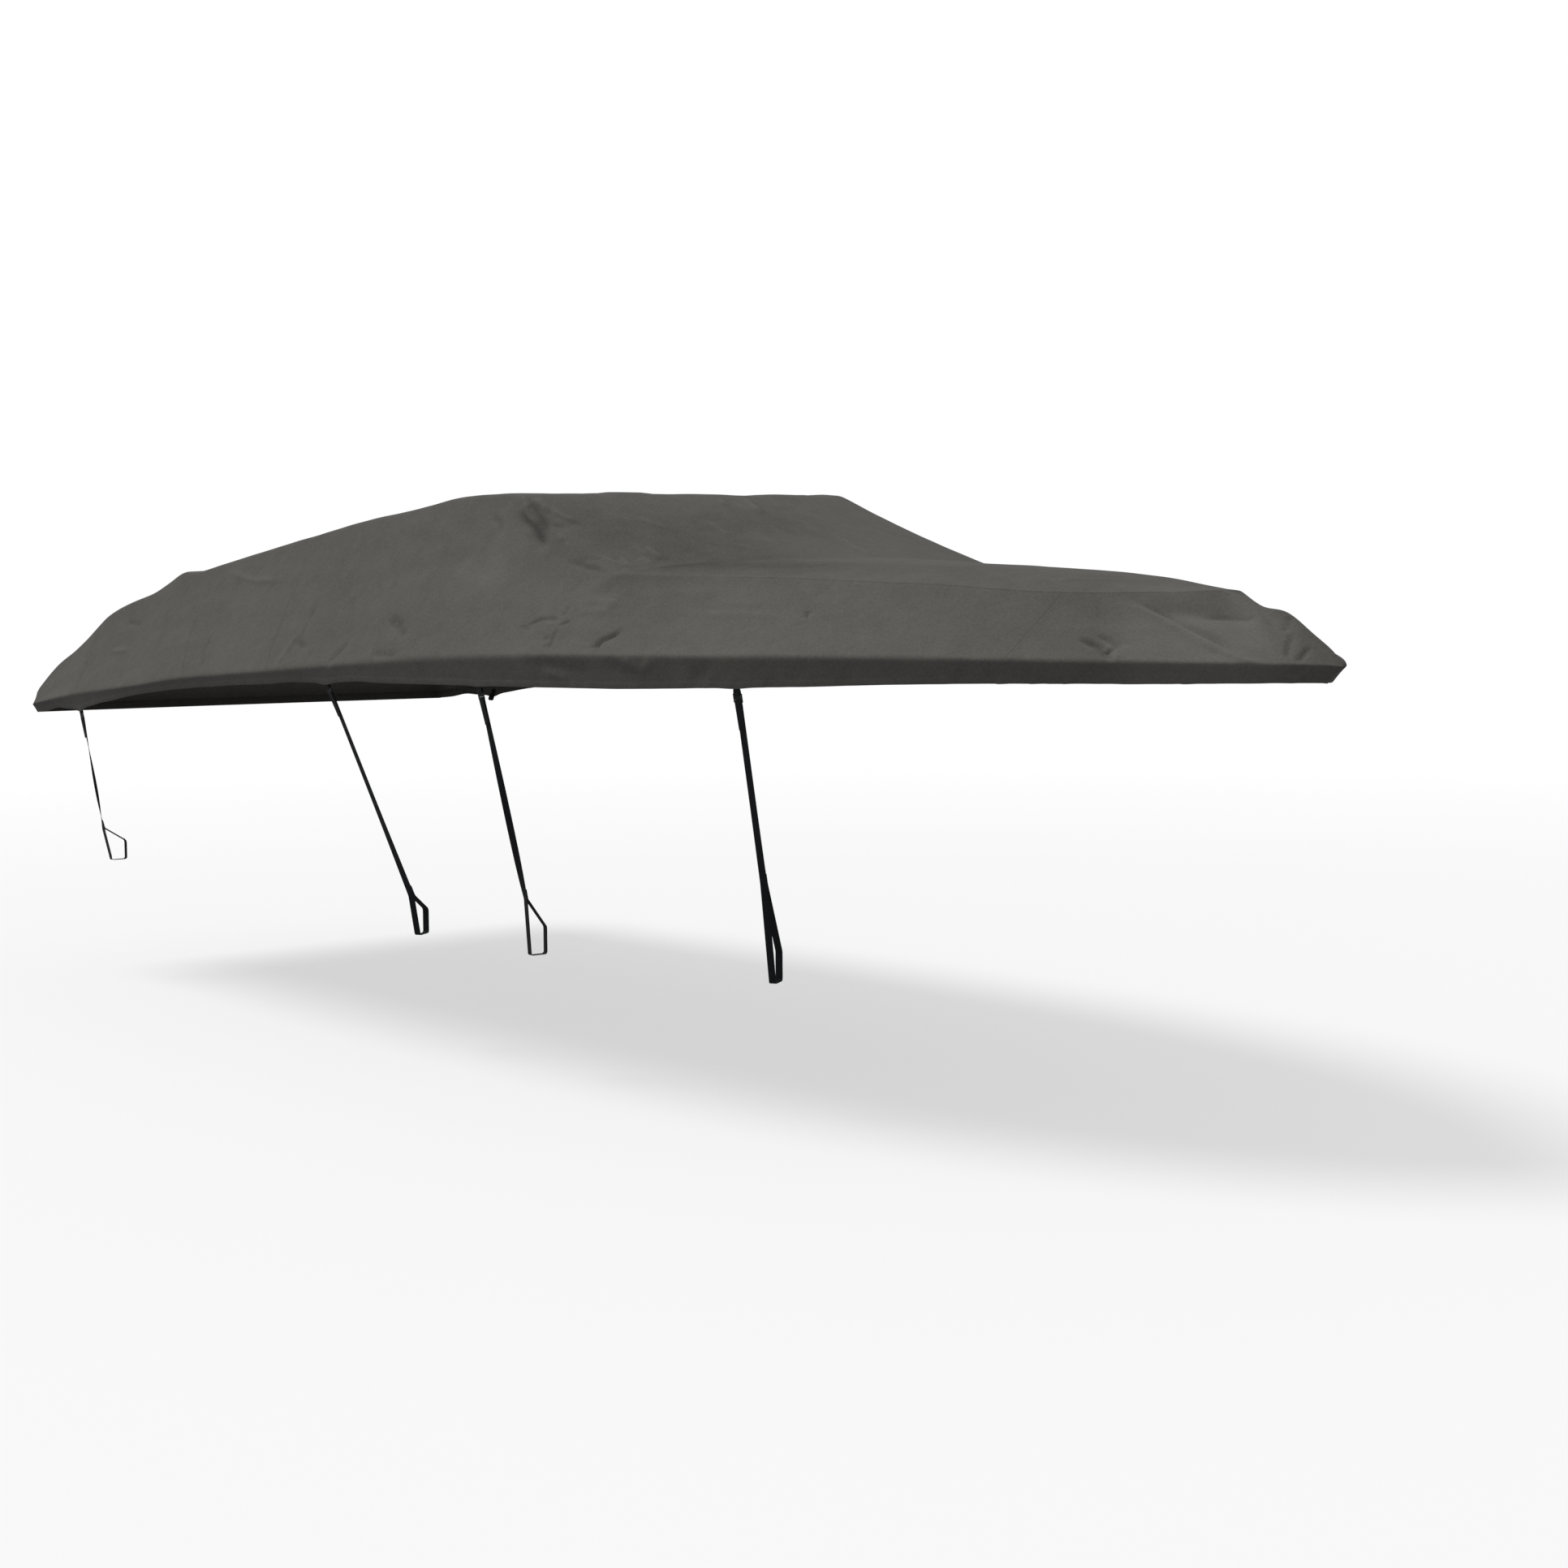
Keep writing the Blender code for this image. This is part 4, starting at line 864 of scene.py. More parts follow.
def cover_surface():
    """The cover's outer surface: points in rows along the cover, with each one's run along the
    cover and from its middle line, its painted shade and light, the lines' places, and the row of each
    named rib."""
    ribs, first = surface_rows()
    lines = surface_lines()
    points = np.stack([stern_places(lines)] + [rib_places(rib, lines) for rib in ribs])
    away = abs(lines)[None, :]
    x = points[..., 0]

    hem = np.clip(away - SHOULDER_LINE, 0, 1)
    for place, height, reach in HEM_PULLS:
        points[..., 2] += height * near(x, place, reach) * hem ** 2

    rows = np.arange(len(points))[:, None]
    aft = rows < first["crest_foot"]
    fore = 1 + BOW_SOFTER * np.clip((x - BOW_SOFTER_X) / BOW_SOFTER_REACH, 0, 1)
    across = (SOFTEN_ALL + SOFTEN_SHOULDER * fore * near(away, SHOULDER_LINE, SHOULDER_ROUND)
              + SOFTEN_RIDGE * near(away, RIDGE_LINE, RIDGE_ROUND) * aft)
    across = across * np.clip(rows / first["stern_4"], STERN_LEAST, 1)
    sharp = near(x, PEAK_X, PEAK_REACH) + near(rows, 0, STERN_ROWS)
    along = np.broadcast_to(SOFTEN_ALONG * (1 - np.clip(sharp, 0, 1)), x.shape)
    points = soften(points, 1, across, SOFTEN_PASSES)
    points = soften(points, 0, along, SOFTEN_PASSES)
    join = points[first["tip"]:, (abs(lines) <= RIDGE_LINE)]
    middle = (join[:, :1] + join[:, -1:]) / 2
    middle[..., 1] = 0
    points[first["tip"]:, (abs(lines) <= RIDGE_LINE)] = middle

    s, t = runs_of(points, lines)
    normals = normals_of(points)
    relief, tone = np.zeros(x.shape), np.zeros(x.shape)
    for fold, strength in strips(points, FOLDS):
        relief += fold.lift * strength
        # fine folds: painted shade in their troughs, painted highlight on their ridges
        if fold.width <= FINE_FOLD:
            tone += np.clip(CREASE_PAINTED_SHADING * fold.lift, *CREASE_PAINTED_SHADING_LIMITS) * strength ** 2
    # painted shade and painted light in soft patches
    for patch, strength in strips(points, PAINTED_SHADING_PATCHES):
        tone += patch.amount * strength
    relief += slack(s, t, *LONG_WAVES) + slack(s, t, *SHORT_WAVES)
    flank = np.clip(3 * (away - RIDGE_LINE), 0, 1) * np.clip(6 * (SHOULDER_LINE - away), 0, 1)
    relief += slack(s, t, *FLANK_WAVES) * flank
    window = (np.clip((x - GATHER_X[0]) / GATHER_FADE[0], 0, 1)
              * np.clip((GATHER_X[1] - x) / GATHER_FADE[1], 0, 1))
    wave = rolling(s / GATHER_PITCH + hem * GATHER_SLANT, s * 1.3, GATHER_SEED)
    relief += GATHER * wave * window * np.clip(hem * 2 - 0.5, 0, 1)
    relief *= np.clip(rows / 8, 0, 1) * np.clip((len(points) - 1 - rows) / 5, 0, 1)
    points = points + normals * relief[..., None]
    s, t = runs_of(points, lines)
    return points, s, t, tone, lines, first


def runs_of(points, lines):
    """How far each point is along its own line, and from the middle along its own row."""
    s = np.linalg.norm(np.diff(points, axis=0), axis=2).cumsum(axis=0)
    s = np.concatenate((np.zeros((1, points.shape[1])), s))
    t = np.linalg.norm(np.diff(points, axis=1), axis=2).cumsum(axis=1)
    t = np.concatenate((np.zeros((points.shape[0], 1)), t), axis=1)
    middle = int(np.argmin(abs(lines)))
    return s, t - t[:, middle:middle + 1]


# Seams and hem in section: distances from the edge, and how far the cloth stands out there.
LAP = ((0, -0.0008), (0.0025, 0.0005), (0.0125, 0.0005), (0.0165, 0.0))     # the lapping side
DIP = ((0, -0.0008), (0.0040, 0.0))                                          # the side below
HEM = ((0, 0.0), (0.0020, 0.0003), (0.0225, 0.0003), (0.0250, -0.0002), (0.0290, 0.0))
FAR = 0.06               # distances from a seam are kept only up to here

# How clearly a seam shows: at places from the middle line to the hem, and along the cover.
RIB_SEAM_SHOWS = {
    "stern_seam": ((0, 0.4), (1, 0.6), (1.6, 1.0), (2.0, 0.8), (2.1, 0.4)),
    "seam_1": ((0, 0.2), (1, 0.1), (1.2, 0.1), (1.4, 0.9), (1.8, 1.0), (2.0, 0.6), (2.1, 0.3)),
    "seam_2": ((0, 0.2), (1, 0.1), (1.3, 0.2), (1.5, 1.0), (1.8, 1.0), (2.0, 0.5), (2.1, 0.3)),
    "seam_3": ((0, 0.1), (1, 0.0), (1.6, 0.0), (1.75, 0.6), (2.0, 0.8), (2.1, 0.2)),
    "crest_foot": ((0, 1.0), (0.9, 1.0), (1.0, 0.5), (1.1, 0.0), (2.1, 0.0)),
    "seam_4": ((0, 0.2), (1, 0.2), (1.35, 0.2), (1.45, 0.8), (1.6, 0.2), (2.1, 0.2)),
    "bow": ((0, 0.2), (3, 0.2)),
    "seam_5": ((0, 0.2), (1, 0.6), (1.3, 0.9), (1.8, 1.0), (2.0, 0.5), (2.1, 0.2)),
}
LONG_SEAM_SHOWS = ((0.58, 0.2), (0.90, 0.2), (1.15, 0.7), (2.15, 1.0), (2.42, 0.9), (2.50, 0.2))


def respaced(fields, axis, low, high):
    """The same surface with rows at the sections' distances from its first and its last row."""
    fields = np.moveaxis(fields, axis, 0)
    points = fields[..., :3]
    run = np.linalg.norm(np.diff(points, axis=0), axis=2).cumsum(axis=0)
    run = np.concatenate((np.zeros((1, points.shape[1])), run))
    mean, whole = run.mean(axis=1), run[-1:]
    start = [np.full_like(whole, away) for away, _ in low]
    end = [whole - away for away, _ in reversed(high)]
    inner = [row[None] for row, at in zip(run, mean)
             if low[-1][0] + 0.003 < at < mean[-1] - high[-1][0] - 0.003]
    target = np.concatenate(start + inner + end)
    target = np.minimum(np.maximum.accumulate(target, axis=0), whole)
    found = np.empty((len(target),) + fields.shape[1:])
    for c in range(fields.shape[1]):
        for k in range(fields.shape[2]):
            found[:, c, k] = np.interp(target[:, c], run[:, c], fields[:, c, k])
    return (np.moveaxis(found, 0, axis), np.moveaxis(target, 0, axis),
            np.moveaxis(whole - target, 0, axis))


def section_lift(section, away):
    return np.interp(away, [a for a, _ in section], [b for _, b in section])


def edge_kinds(panel):
    """The sections at a panel's aft, fore, low and high edges."""
    aft = HEM if panel.first == "stern_1" else LAP
    fore = DIP
    low = HEM if panel.low == -HEM_LINE else (LAP if panel.name == "panel_deck" else DIP)
    high = HEM if panel.high == HEM_LINE else (LAP if panel.name == "panel_deck" else DIP)
    return aft, fore, low, high


def panel_mesh(panel, surface):
    """A panel's outer face as a grid, with its seams and hem in relief and its weave's UV map."""
    points, s, t, tone, lines, first = surface
    rows = slice(0 if panel.first == "stern_1" else first[panel.first], first[panel.last] + 1)
    columns = np.flatnonzero((lines >= panel.low - 1e-6) & (lines <= panel.high + 1e-6))
    place = np.broadcast_to(abs(lines), s.shape)
    fields = np.stack((*np.moveaxis(points, 2, 0), s, t, place, tone), axis=2)[rows][:, columns]
    aft, fore, low, high = edge_kinds(panel)
    if panel.first == "stern_1":
        aft = ((0, 0.0),)
    fields, from_aft, from_fore = respaced(fields, 0, aft, fore)
    fields = np.concatenate((fields, from_aft[..., None], from_fore[..., None]), axis=2)
    fields, from_low, from_high = respaced(fields, 1, low, high)
    x, place, tone, from_aft, from_fore = (fields[..., k] for k in (0, 5, 6, 7, 8))
    # painted shade along the deck's starboard seam
    if panel.name == "panel_deck":
        shows = np.interp(x, *zip(*DECK_EDGE_SHOWS))
        tone = tone + DECK_EDGE_PAINTED_SHADE * shows * near(from_low, DECK_EDGE_AWAY, DECK_EDGE_REACH)
    aft_shows, fore_shows = (np.interp(place, *zip(*RIB_SEAM_SHOWS.get(rib, ((0, 1),))))
                             for rib in (panel.first, panel.last))
    long_shows = np.interp(x, *zip(*LONG_SEAM_SHOWS))
    edges = ((aft, from_aft, aft_shows), (fore, from_fore, fore_shows),
             (low, from_low, long_shows), (high, from_high, long_shows))
    lift, painted_seam_shade, stitched = 0, np.zeros(x.shape), np.zeros(x.shape)
    for kind, away, shows in edges:
        lift = lift + section_lift(kind, away) * (1 if kind is HEM else shows)
        # painted shade beside each seam, fading out over the dipped side's width
        if kind in (LAP, DIP):
            painted_seam_shade = np.maximum(painted_seam_shade, shows * np.clip(1 - away / DIP[-1][0], 0, 1))
        if kind is LAP:
            stitched = np.maximum(stitched, shows * (away < FAR / 2))
    surface_points = fields[..., :3]
    surface_points = surface_points + normals_of(surface_points) * lift[..., None]
    far = np.full(x.shape, FAR)
    across = np.minimum(from_aft if aft is LAP else far, FAR)
    beside = np.minimum.reduce([from_low if low is LAP else far, from_high if high is LAP else far])
    hem = np.minimum.reduce([from_low if low is HEM else far, from_high if high is HEM else far])
    marks = np.stack((across, beside, hem, painted_seam_shade, stitched, tone), axis=2)
    return grid_mesh(surface_points, fields[..., 3:5], marks)


# The fourth mark is painted shade along the seams, and the last is painted shade and light over the cloth.
MARKS = ("from_rib_seam", "from_long_seam", "from_hem", "painted_seam_shade", "stitched", "tone")


def grid_mesh(points, runs, marks):
    """A bmesh of quads through a grid of points. It carries the runs as a UV map."""
    mesh = bmesh.new()
    n, m = points.shape[0] - 1, points.shape[1] - 1
    bmesh.ops.create_grid(mesh, x_segments=n, y_segments=m, size=0.5)
    uv = mesh.loops.layers.uv.new("weave")
    layers = [mesh.verts.layers.float.new(name) for name in MARKS]
    places = {}
    for vert in mesh.verts:
        i, j = round((vert.co.x + 0.5) * n), round((vert.co.y + 0.5) * m)
        places[vert] = (i, j)
        vert.co = points[i, j]
        for layer, value in zip(layers, marks[i, j]):
            vert[layer] = value
    for face in mesh.faces:
        for loop in face.loops:
            loop[uv].uv = runs[places[loop.vert]]
    return mesh


def stern_skirt_mesh():
    """The skirt under the stern edge, between its corners."""
    shares = np.linspace(1, 0, 2 * SKIRT_CELLS + 1)
    lines = surface_lines()
    lines = lines[abs(lines) <= SHOULDER_LINE + 1e-6]
    edge, inward = stern_edge(lines)
    rows = []
    for share in shares:
        row = edge + inward * SIDE_TUCK * share ** SKIRT_SWELL
        row[:, 2] = blend(edge[:, 2], STERN_HEM_Z, share)
        rows.append(row)
    points = np.stack(rows)
    s, t = runs_of(points, lines)
    depth = s[-1:] - s
    marks = np.zeros(points.shape[:2] + (len(MARKS),))
    marks[..., :2] = FAR
    marks[..., 2] = s
    return grid_mesh(points, np.stack((-depth, t), axis=2), marks)


def face_outwards(mesh, middle):
    """Turns an open surface's faces away from a point."""
    bmesh.ops.recalc_face_normals(mesh, faces=mesh.faces)
    total = sum(face.normal.dot(face.calc_center_median() - middle) * face.calc_area()
                for face in mesh.faces)
    if total < 0:
        bmesh.ops.reverse_faces(mesh, faces=mesh.faces)


# ---- materials ----
CLOTH_LIGHT = (0.1450, 0.1412, 0.1300, 1)
CLOTH_DARK = (0.0570, 0.0556, 0.0512, 1)
THREAD_COLOUR = (0.080, 0.078, 0.072, 1)
# the next colour is painted shade along the seams
PAINTED_SEAM_SHADE_COLOUR = (0.050, 0.049, 0.045, 1)
WEBBING_COLOUR = (0.0060, 0.0070, 0.0085, 1)
WEBBING_LIGHT = (0.0140, 0.0155, 0.0185, 1)
BUCKLE_COLOUR = (0.007, 0.0072, 0.008, 1)
BUCKLE_WORN = (0.018, 0.0185, 0.020, 1)
CLOTH_PITCH = 0.0009     # between two threads
WEBBING_PITCH = 0.0012
SEAM_ROWS = (0.0040, 0.0110)       # the two stitch rows beside a seam
HEM_ROW = 0.0235
STITCH_PITCH = 0.0045
THREAD_REACH = 0.0006    # from a row's middle line to a stitch's edge


class Nodes:
    """Adds nodes to a tree and joins them up, each call giving the socket that it makes."""

    def __init__(self, tree):
        self.tree = tree

    def add(self, kind, values=(), output=0, **settings):
        node = self.tree.nodes.new(kind)
        for name, value in settings.items():
            setattr(node, name, value)
        for name, value in dict(values).items():
            self.join(value, node.inputs[name])
        return node.outputs[output]

    def join(self, value, socket):
        if isinstance(value, bpy.types.NodeSocket):
            self.tree.links.new(value, socket)
        else:
            socket.default_value = value

    def math(self, operation, *values, clamp=False):
        return self.add("ShaderNodeMath", enumerate(values), operation=operation, use_clamp=clamp)

    def mix(self, share, low, high):
        return self.add("ShaderNodeMix", ((0, share), (6, low), (7, high)), output=2, data_type="RGBA")

    def ramp(self, value, low, high, to_low=0.0, to_high=1.0):
        values = ((0, value), (1, low), (2, high), (3, to_low), (4, to_high))
        return self.add("ShaderNodeMapRange", values, clamp=True)

    def group(self, tree, output=0, **values):
        node = self.tree.nodes.new("ShaderNodeGroup")
        node.node_tree = tree
        for name, value in values.items():
            self.join(value, node.inputs[name])
        return node.outputs[output]

    def attribute(self, name):
        return self.add("ShaderNodeAttribute", output=2, attribute_name=name)

    def weave_runs(self):
        """How far a place is along and across its cloth, from the weave's UV map in metres."""
        split = self.tree.nodes.new("ShaderNodeSeparateXYZ")
        self.join(self.add("ShaderNodeUVMap", uv_map="weave"), split.inputs[0])
        return split.outputs[0], split.outputs[1]

    def noise(self, place, scale, detail, **values):
        return self.add("ShaderNodeTexNoise", {"Vector": place, "Scale": scale, "Detail": detail, **values})

    def bump(self, strength, height, socket):
        values = (("Strength", strength), ("Distance", 1.0), ("Height", height))
        self.join(self.add("ShaderNodeBump", values), socket)


def new_group(name, inputs, outputs):
    """An empty node group with named inputs and outputs: numbers, but for one called Vector."""
    tree = bpy.data.node_groups.new(name, "ShaderNodeTree")
    for way, labels in (("INPUT", inputs), ("OUTPUT", outputs)):
        for label in labels.split():
            kind = "NodeSocketVector" if label == "Vector" else "NodeSocketFloat"
            tree.interface.new_socket(label, in_out=way, socket_type=kind)
    entry = tree.nodes.new("NodeGroupInput")
    leave = tree.nodes.new("NodeGroupOutput")
    return tree, Nodes(tree), entry.outputs, leave.inputs


def weave_group():
    """Plain weave: threads over and under each other, on a UV map in metres."""
    tree, n, entry, leave = new_group("plain_weave", "Along Across Pitch", "Height Tone")
    u, v = (n.math("DIVIDE", entry[label], entry["Pitch"]) for label in ("Along", "Across"))
    warp, weft = (n.math("ABSOLUTE", n.math("SINE", n.math("MULTIPLY", run, pi))) for run in (u, v))
    check = n.math("FLOORED_MODULO", n.math("ADD", n.math("FLOOR", u), n.math("FLOOR", v)), 2.0)
    over = n.math("MULTIPLY", warp, n.math("ADD", 0.55, n.math("MULTIPLY", check, 0.45)))
    under = n.math("MULTIPLY", weft, n.math("SUBTRACT", 1.0, n.math("MULTIPLY", check, 0.45)))
    height = n.math("MAXIMUM", over, under)
    n.join(height, leave["Height"])
    n.join(check, leave["Tone"])
    return tree


def stitch_group():
    """One row of stitches at a distance from a seam: dashes along the run."""
    tree, n, entry, leave = new_group("stitch_row", "Run Away Row Pitch Thickness", "Mask Pull")
    off = n.math("DIVIDE", n.math("ABSOLUTE", n.math("SUBTRACT", entry["Away"], entry["Row"])),
                 entry["Thickness"])
    body = n.math("SUBTRACT", 1.0, off, clamp=True)
    place = n.math("PINGPONG", n.math("DIVIDE", entry["Run"], entry["Pitch"]), 0.5)
    dash = n.ramp(place, 0.06, 0.16)
    n.join(n.math("MULTIPLY", body, dash), leave["Mask"])
    n.join(n.math("SUBTRACT", 1.0, n.math("DIVIDE", off, 3.0), clamp=True), leave["Pull"])
    return tree


def mottle_group():
    """Slow change of tone over a surface, from handling, dust and uneven dye."""
    tree, n, entry, leave = new_group("uneven_tone", "Vector Scale Amount", "Tone")
    slow = n.noise(entry["Vector"], entry["Scale"], 5.0, Roughness=0.6)
    tone = n.math("MULTIPLY", n.math("SUBTRACT", slow, 0.5), entry["Amount"])
    n.join(n.math("ADD", 0.5, tone), leave["Tone"])
    return tree


def finish_of(name, roughness, **constants):
    """A material with its shader, and the node helper for it."""
    finish = bpy.data.materials.new(name)
    finish.use_nodes = True
    shader = finish.node_tree.nodes["Principled BSDF"]
    shader.inputs["Roughness"].default_value = roughness
    for label, value in constants.items():
        shader.inputs[label.replace("_", " ")].default_value = value
    return finish, Nodes(finish.node_tree), shader.inputs


def cloth_finish(weave, stitches, mottle):
    finish, n, shader = finish_of("coated_canvas", 0.95, Sheen_Weight=0.02, Sheen_Roughness=0.5,
                                  Specular_IOR_Level=0.12)
    place = n.add("ShaderNodeTexCoord", output=3)
    along, across = n.weave_runs()
    threads = n.group(weave, output=0, Along=along, Across=across, Pitch=CLOTH_PITCH)
    rib, beside, hem, painted_seam_shade, stitched, tone = (n.attribute(name) for name in MARKS)
    # the tone mark is painted shade and light; the mottle added to it is uneven dye and dust
    shade = n.math("ADD", tone, -1.0)
    for scale, amount in ((1.6, 0.34), (14.0, 0.36), (110.0, 0.70)):
        shade = n.math("ADD", shade, n.group(mottle, Vector=place, Scale=scale, Amount=amount))
    colour = n.mix(n.math("ADD", shade, 0.0, clamp=True), CLOTH_DARK, CLOTH_LIGHT)
    masks = []
    for k in (0, 1):
        rows = [n.group(stitches, output=k, Run=run, Away=away, Row=row,
                        Pitch=STITCH_PITCH, Thickness=THREAD_REACH)
                for run, away, row in (*((across, rib, row) for row in SEAM_ROWS),
                                       *((along, beside, row) for row in SEAM_ROWS),
                                       (along, hem, HEM_ROW))]
        seams = rows[0]
        for more in rows[1:4]:
            seams = n.math("MAXIMUM", seams, more)
        masks.append(n.math("MAXIMUM", n.math("MULTIPLY", seams, stitched), rows[4]))
    colour = n.mix(masks[0], colour, THREAD_COLOUR)
    # painted shade along the seams, broken by noise
    depth = n.math("MULTIPLY", painted_seam_shade, n.ramp(n.noise(place, 40.0, 3.0), 0.35, 0.65, 0.15, 0.60))
    colour = n.mix(depth, colour, PAINTED_SEAM_SHADE_COLOUR)
    n.join(colour, shader["Base Color"])
    crumple, rough = n.noise(place, 30.0, 4.0), n.noise(place, 120.0, 3.0)
    height = n.math("MULTIPLY", threads, 0.00014)
    for source, amount in ((crumple, 0.0018), (rough, 0.0007), (masks[0], 0.0003), (masks[1], -0.0004)):
        height = n.math("ADD", height, n.math("MULTIPLY", source, amount))
    n.bump(0.8, height, shader["Normal"])
    return finish


def webbing_finish(weave, mottle):
    finish, n, shader = finish_of("black_webbing", 0.75, Sheen_Weight=0.03, Specular_IOR_Level=0.2)
    place = n.add("ShaderNodeTexCoord", output=3)
    along, across = n.weave_runs()
    slant = n.math("ADD", along, n.math("MULTIPLY", n.math("PINGPONG", across, 0.0036), 0.9))
    threads = n.group(weave, output=0, Along=slant, Across=across, Pitch=WEBBING_PITCH)
    tone = n.group(mottle, Vector=place, Scale=30.0, Amount=1.2)
    shade = n.math("MULTIPLY", tone, n.math("ADD", 0.35, n.math("MULTIPLY", threads, 0.65)))
    n.join(n.mix(shade, WEBBING_COLOUR, WEBBING_LIGHT), shader["Base Color"])
    n.bump(0.9, n.math("MULTIPLY", threads, 0.0004), shader["Normal"])
    return finish


def buckle_finish(mottle):
    finish, n, shader = finish_of("moulded_plastic", 0.5, Specular_IOR_Level=0.3)
    place = n.add("ShaderNodeTexCoord", output=3)
    tone = n.group(mottle, Vector=place, Scale=120.0, Amount=1.4)
    n.join(n.mix(tone, BUCKLE_COLOUR, BUCKLE_WORN), shader["Base Color"])
    n.join(n.ramp(tone, 0.3, 0.8, 0.42, 0.62), shader["Roughness"])
    n.bump(0.5, n.math("MULTIPLY", n.noise(place, 1800.0, 2.0), 0.00006), shader["Normal"])
    return finish


# ---- the studio ----
FLOOR_Z = -2.146
FLOOR_COLOUR = (0.80, 0.80, 0.80, 1)
BACKDROP = (1.0, 1.0, 1.0, 1)
PALE_FROM, PALE_TO = 7.0, 16.0      # the floor turns as pale as the backdrop between these
FLOOR_REACH = 80.0
SUN_FROM = Vector((-0.41, -0.29, 0.87))     # a large soft lamp, seen from the cover
SUN_POWER, SUN_SOFTNESS = 2.46, radians(26)
SKY_LIGHT = 0.40
FLOOR_BOUNCE = (0.29, 0.29, 0.29, 1)        # the floor's own tone for all but the camera


def add_camera():
    turn, tip = CAMERA_YAW, CAMERA_PITCH
    ahead = Vector((-cos(turn) * cos(tip), sin(turn) * cos(tip), -sin(tip)))
    level = ahead.cross(Vector((0, 0, 1))).normalized()
    upright = level.cross(ahead)
    right = level * cos(CAMERA_ROLL) + upright * sin(CAMERA_ROLL)
    up = upright * cos(CAMERA_ROLL) - level * sin(CAMERA_ROLL)
    data = bpy.data.cameras.new("view")
    data.lens = LENS_MM
    data.clip_end = 300
    camera = bpy.data.objects.new("view", data)
    camera.matrix_world = Matrix((right, up, -ahead)).transposed().to_4x4()
    camera.location = CAMERA_PLACE
    bpy.context.scene.collection.objects.link(camera)
    bpy.context.scene.camera = camera


def add_studio():
    mesh = bmesh.new()
    bmesh.ops.create_circle(mesh, cap_ends=True, segments=64, radius=FLOOR_REACH)
    bmesh.ops.translate(mesh, verts=mesh.verts, vec=(0, 0, FLOOR_Z))
    data = bpy.data.meshes.new("floor")
    mesh.to_mesh(data)
    mesh.free()
    floor = bpy.data.objects.new("floor", data)
    bpy.context.scene.collection.objects.link(floor)
    finish = bpy.data.materials.new("pale_floor")
    finish.use_nodes = True
    n = Nodes(finish.node_tree)
    shader = finish.node_tree.nodes["Principled BSDF"]
    shader.inputs["Roughness"].default_value = 0.9
    place = n.add("ShaderNodeTexCoord", output=3)
    away = n.add("ShaderNodeVectorMath", ((0, place),), output=1, operation="LENGTH")
    seen = n.add("ShaderNodeLightPath")
    n.join(n.mix(seen, FLOOR_BOUNCE, FLOOR_COLOUR), shader.inputs["Base Color"])
    glow = n.add("ShaderNodeEmission", (("Color", BACKDROP), ("Strength", 1.0)))
    share = n.math("MULTIPLY", seen, n.ramp(away, PALE_FROM, PALE_TO, 0.6, 1.0))
    mixed = n.add("ShaderNodeMixShader", ((0, share), (1, shader.outputs[0]), (2, glow)))
    n.join(mixed, finish.node_tree.nodes["Material Output"].inputs["Surface"])
    data.materials.append(finish)
    light = bpy.data.lights.new("soft_lamp", "SUN")
    light.energy = SUN_POWER
    light.angle = SUN_SOFTNESS
    lamp = bpy.data.objects.new("soft_lamp", light)
    lamp.rotation_euler = (-SUN_FROM).to_track_quat("-Z", "Y").to_euler()
    bpy.context.scene.collection.objects.link(lamp)
    world = bpy.data.worlds.new("studio")
    world.use_nodes = True
    bpy.context.scene.world = world
    n = Nodes(world.node_tree)
    ray = n.add("ShaderNodeLightPath")
    strength = n.ramp(ray, 0.0, 1.0, SKY_LIGHT, 1.0)
    background = world.node_tree.nodes["Background"].inputs
    n.join(BACKDROP, background["Color"])
    n.join(strength, background["Strength"])
    bpy.context.scene.view_settings.view_transform = "Standard"


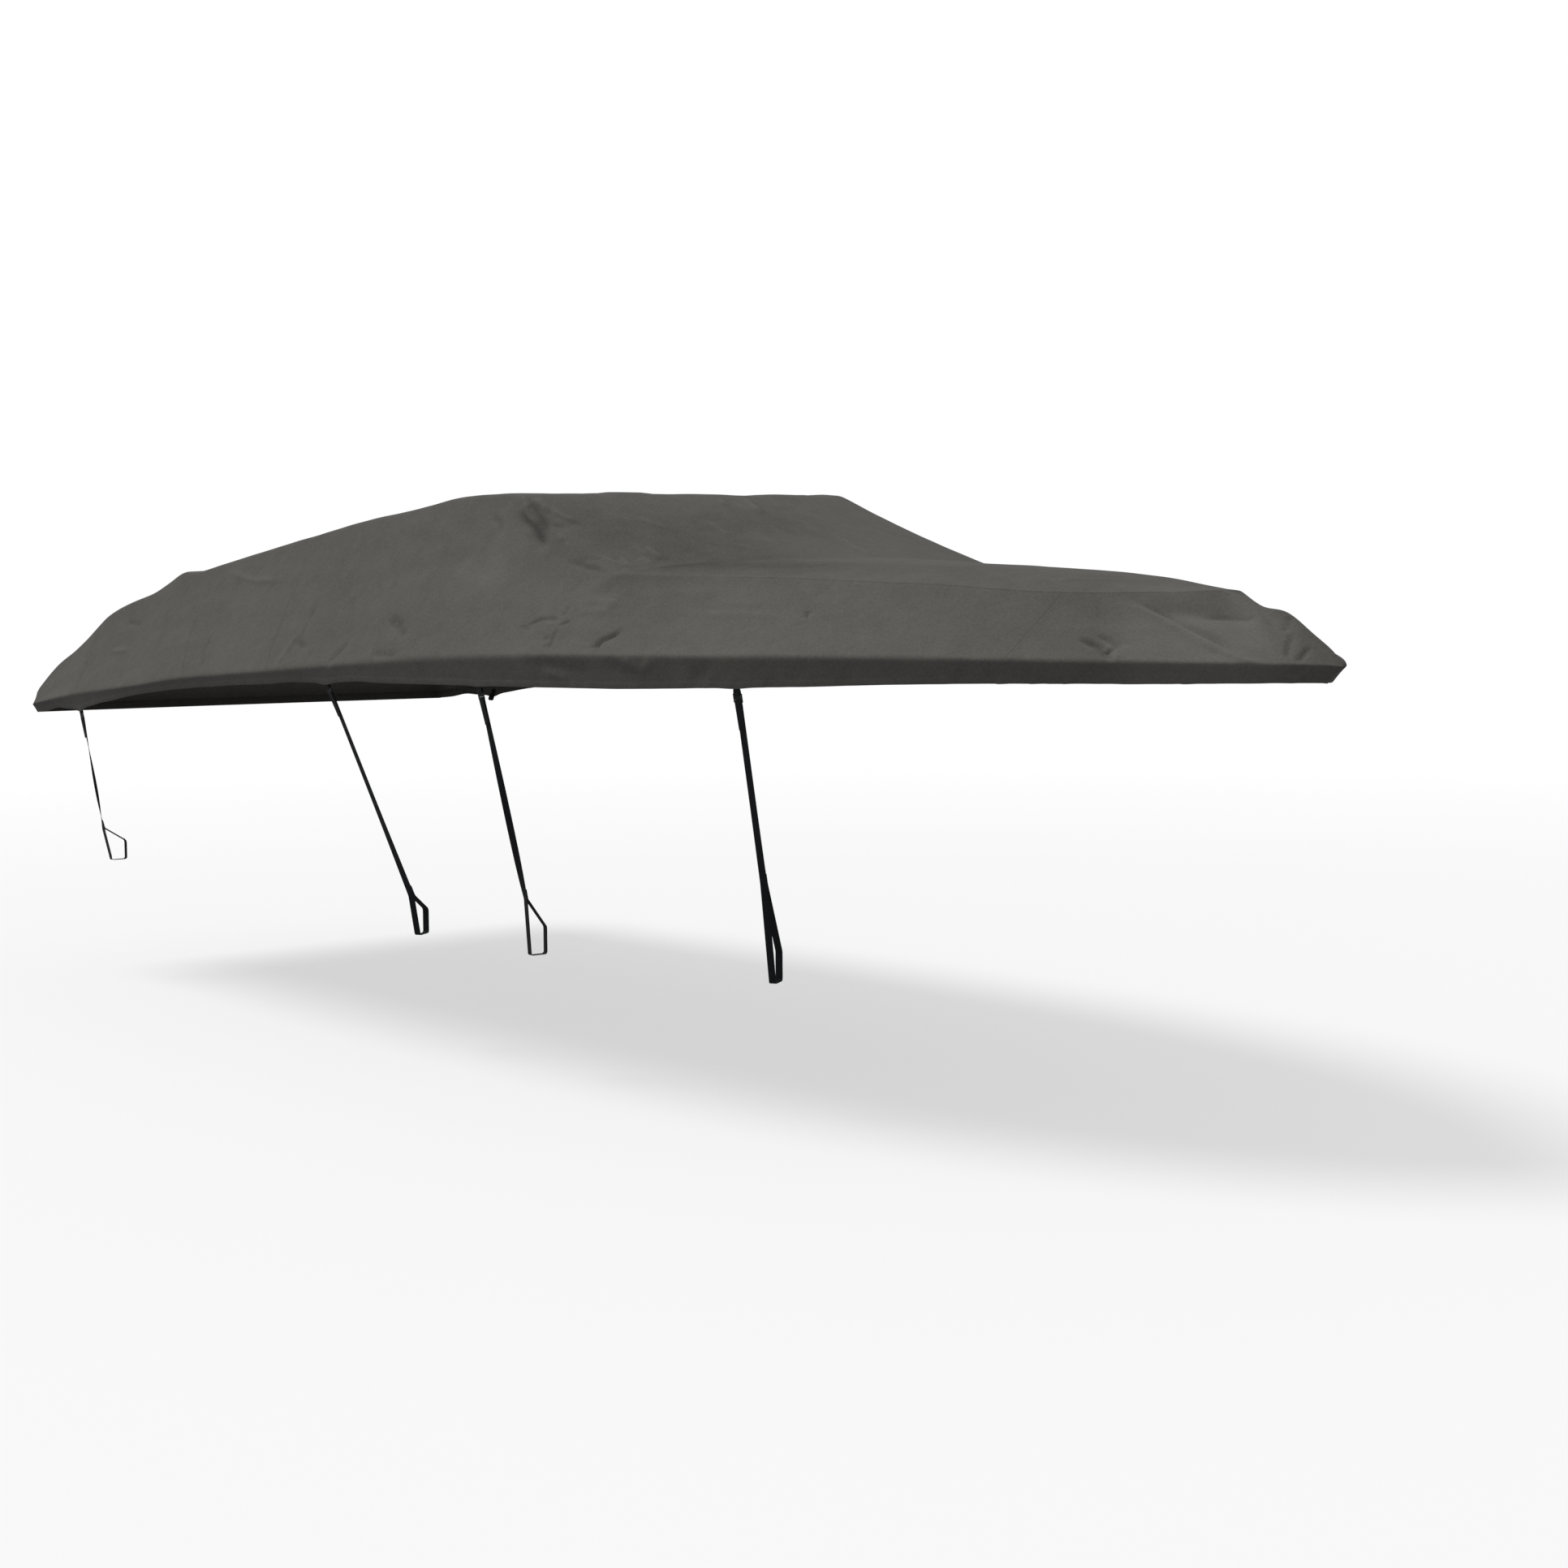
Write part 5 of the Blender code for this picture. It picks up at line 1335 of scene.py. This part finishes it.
def add_webbing(webbing, plastic):
    """Straps, hem tabs and buckles. Each strap is a flat strip of webbing from its loose end to its loop.
    """
    tabs = {}
    for number, strap in enumerate(STRAPS, 1):
        fitting = hem_fitting(strap.hem_x, -1, strap.join)
        points, widths = strap_route(strap, fitting)
        piece = add_piece(f"webbing_strap_{number}", webbing_mesh(points, widths), webbing,
                          f"strap_{number}")
        buckle = buckle_mesh()
        bmesh.ops.transform(buckle, verts=buckle.verts,
                            matrix=fitting_matrix(fitting, TAB_BELOW_HEM + BUCKLE_HEIGHT / 2))
        buckle = add_piece(f"bar_buckle_{number}", buckle, plastic, f"buckle_{number}")
        buckle.data.set_sharp_from_angle(angle=radians(50))
        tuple(points[0])
        route_length(points)
        [tuple(p) for p in points]
        bar = TAB_BELOW_HEM + BUCKLE_BAR + TURN_ROOM + WEB / 2
        for name, side, place, half_gap, length in (
                (f"starboard_{number}", -1, fitting, BAR_TURN, bar),
                (f"port_{number}", 1, hem_fitting(strap.hem_x, 1), PORT_LOOP_RADIUS, PORT_LOOP)):
            mesh = webbing_mesh(*tab_route(strap.hem_x, side, place, half_gap, length))
            tabs[name] = add_piece("hem_tab_" + name, mesh, webbing, "tab_" + name)
    return tabs


# Which panel each hem tab is sewn to.
TAB_PANELS = {
    "panel_aft_1": ("starboard_1", "port_1"),
    "panel_aft_3": ("starboard_2", "port_2"),
    "panel_crest": ("starboard_3", "port_3"),
    "side_fore_1_starboard": ("starboard_4",),
    "side_fore_1_port": ("port_4",),
}
UNDER_CREST = Vector((-0.5, 0, -0.9))      # a place inside the cover that all its cloth faces away from
SKIRT_JOIN, POINT_JOIN = 0.0015, 0.00002    # how near points are that become one


def add_cover(cloth, tabs):
    surface = cover_surface()
    for panel in PANELS:
        mesh = panel_mesh(panel, surface)
        if panel.name == "panel_stern":
            skirt = stern_skirt_mesh()
            extra = bpy.data.meshes.new("skirt")
            skirt.to_mesh(extra)
            skirt.free()
            mesh.from_mesh(extra)
            bpy.data.meshes.remove(extra)
            bmesh.ops.remove_doubles(mesh, verts=mesh.verts, dist=SKIRT_JOIN)
        else:
            bmesh.ops.remove_doubles(mesh, verts=mesh.verts, dist=POINT_JOIN)
        face_outwards(mesh, UNDER_CREST)
        for edge in mesh.edges:
            edge.smooth = not edge.is_boundary
        area = sum(face.calc_area() for face in mesh.faces)
        name = "cloth_" + panel.name.replace("panel_", "")
        piece = add_piece(name, mesh, cloth, panel.name)
        solid = piece.modifiers.new("thickness", "SOLIDIFY")
        solid.thickness = CLOTH
        solid.offset = -1
        places = [vert.co.x for vert in piece.data.vertices]
        [tabs[key] for key in TAB_PANELS.get(panel.name, ())]


add_camera()
add_studio()
weave, stitches, mottle = weave_group(), stitch_group(), mottle_group()
hem_tabs = add_webbing(webbing_finish(weave, mottle), buckle_finish(mottle))
add_cover(cloth_finish(weave, stitches, mottle), hem_tabs)
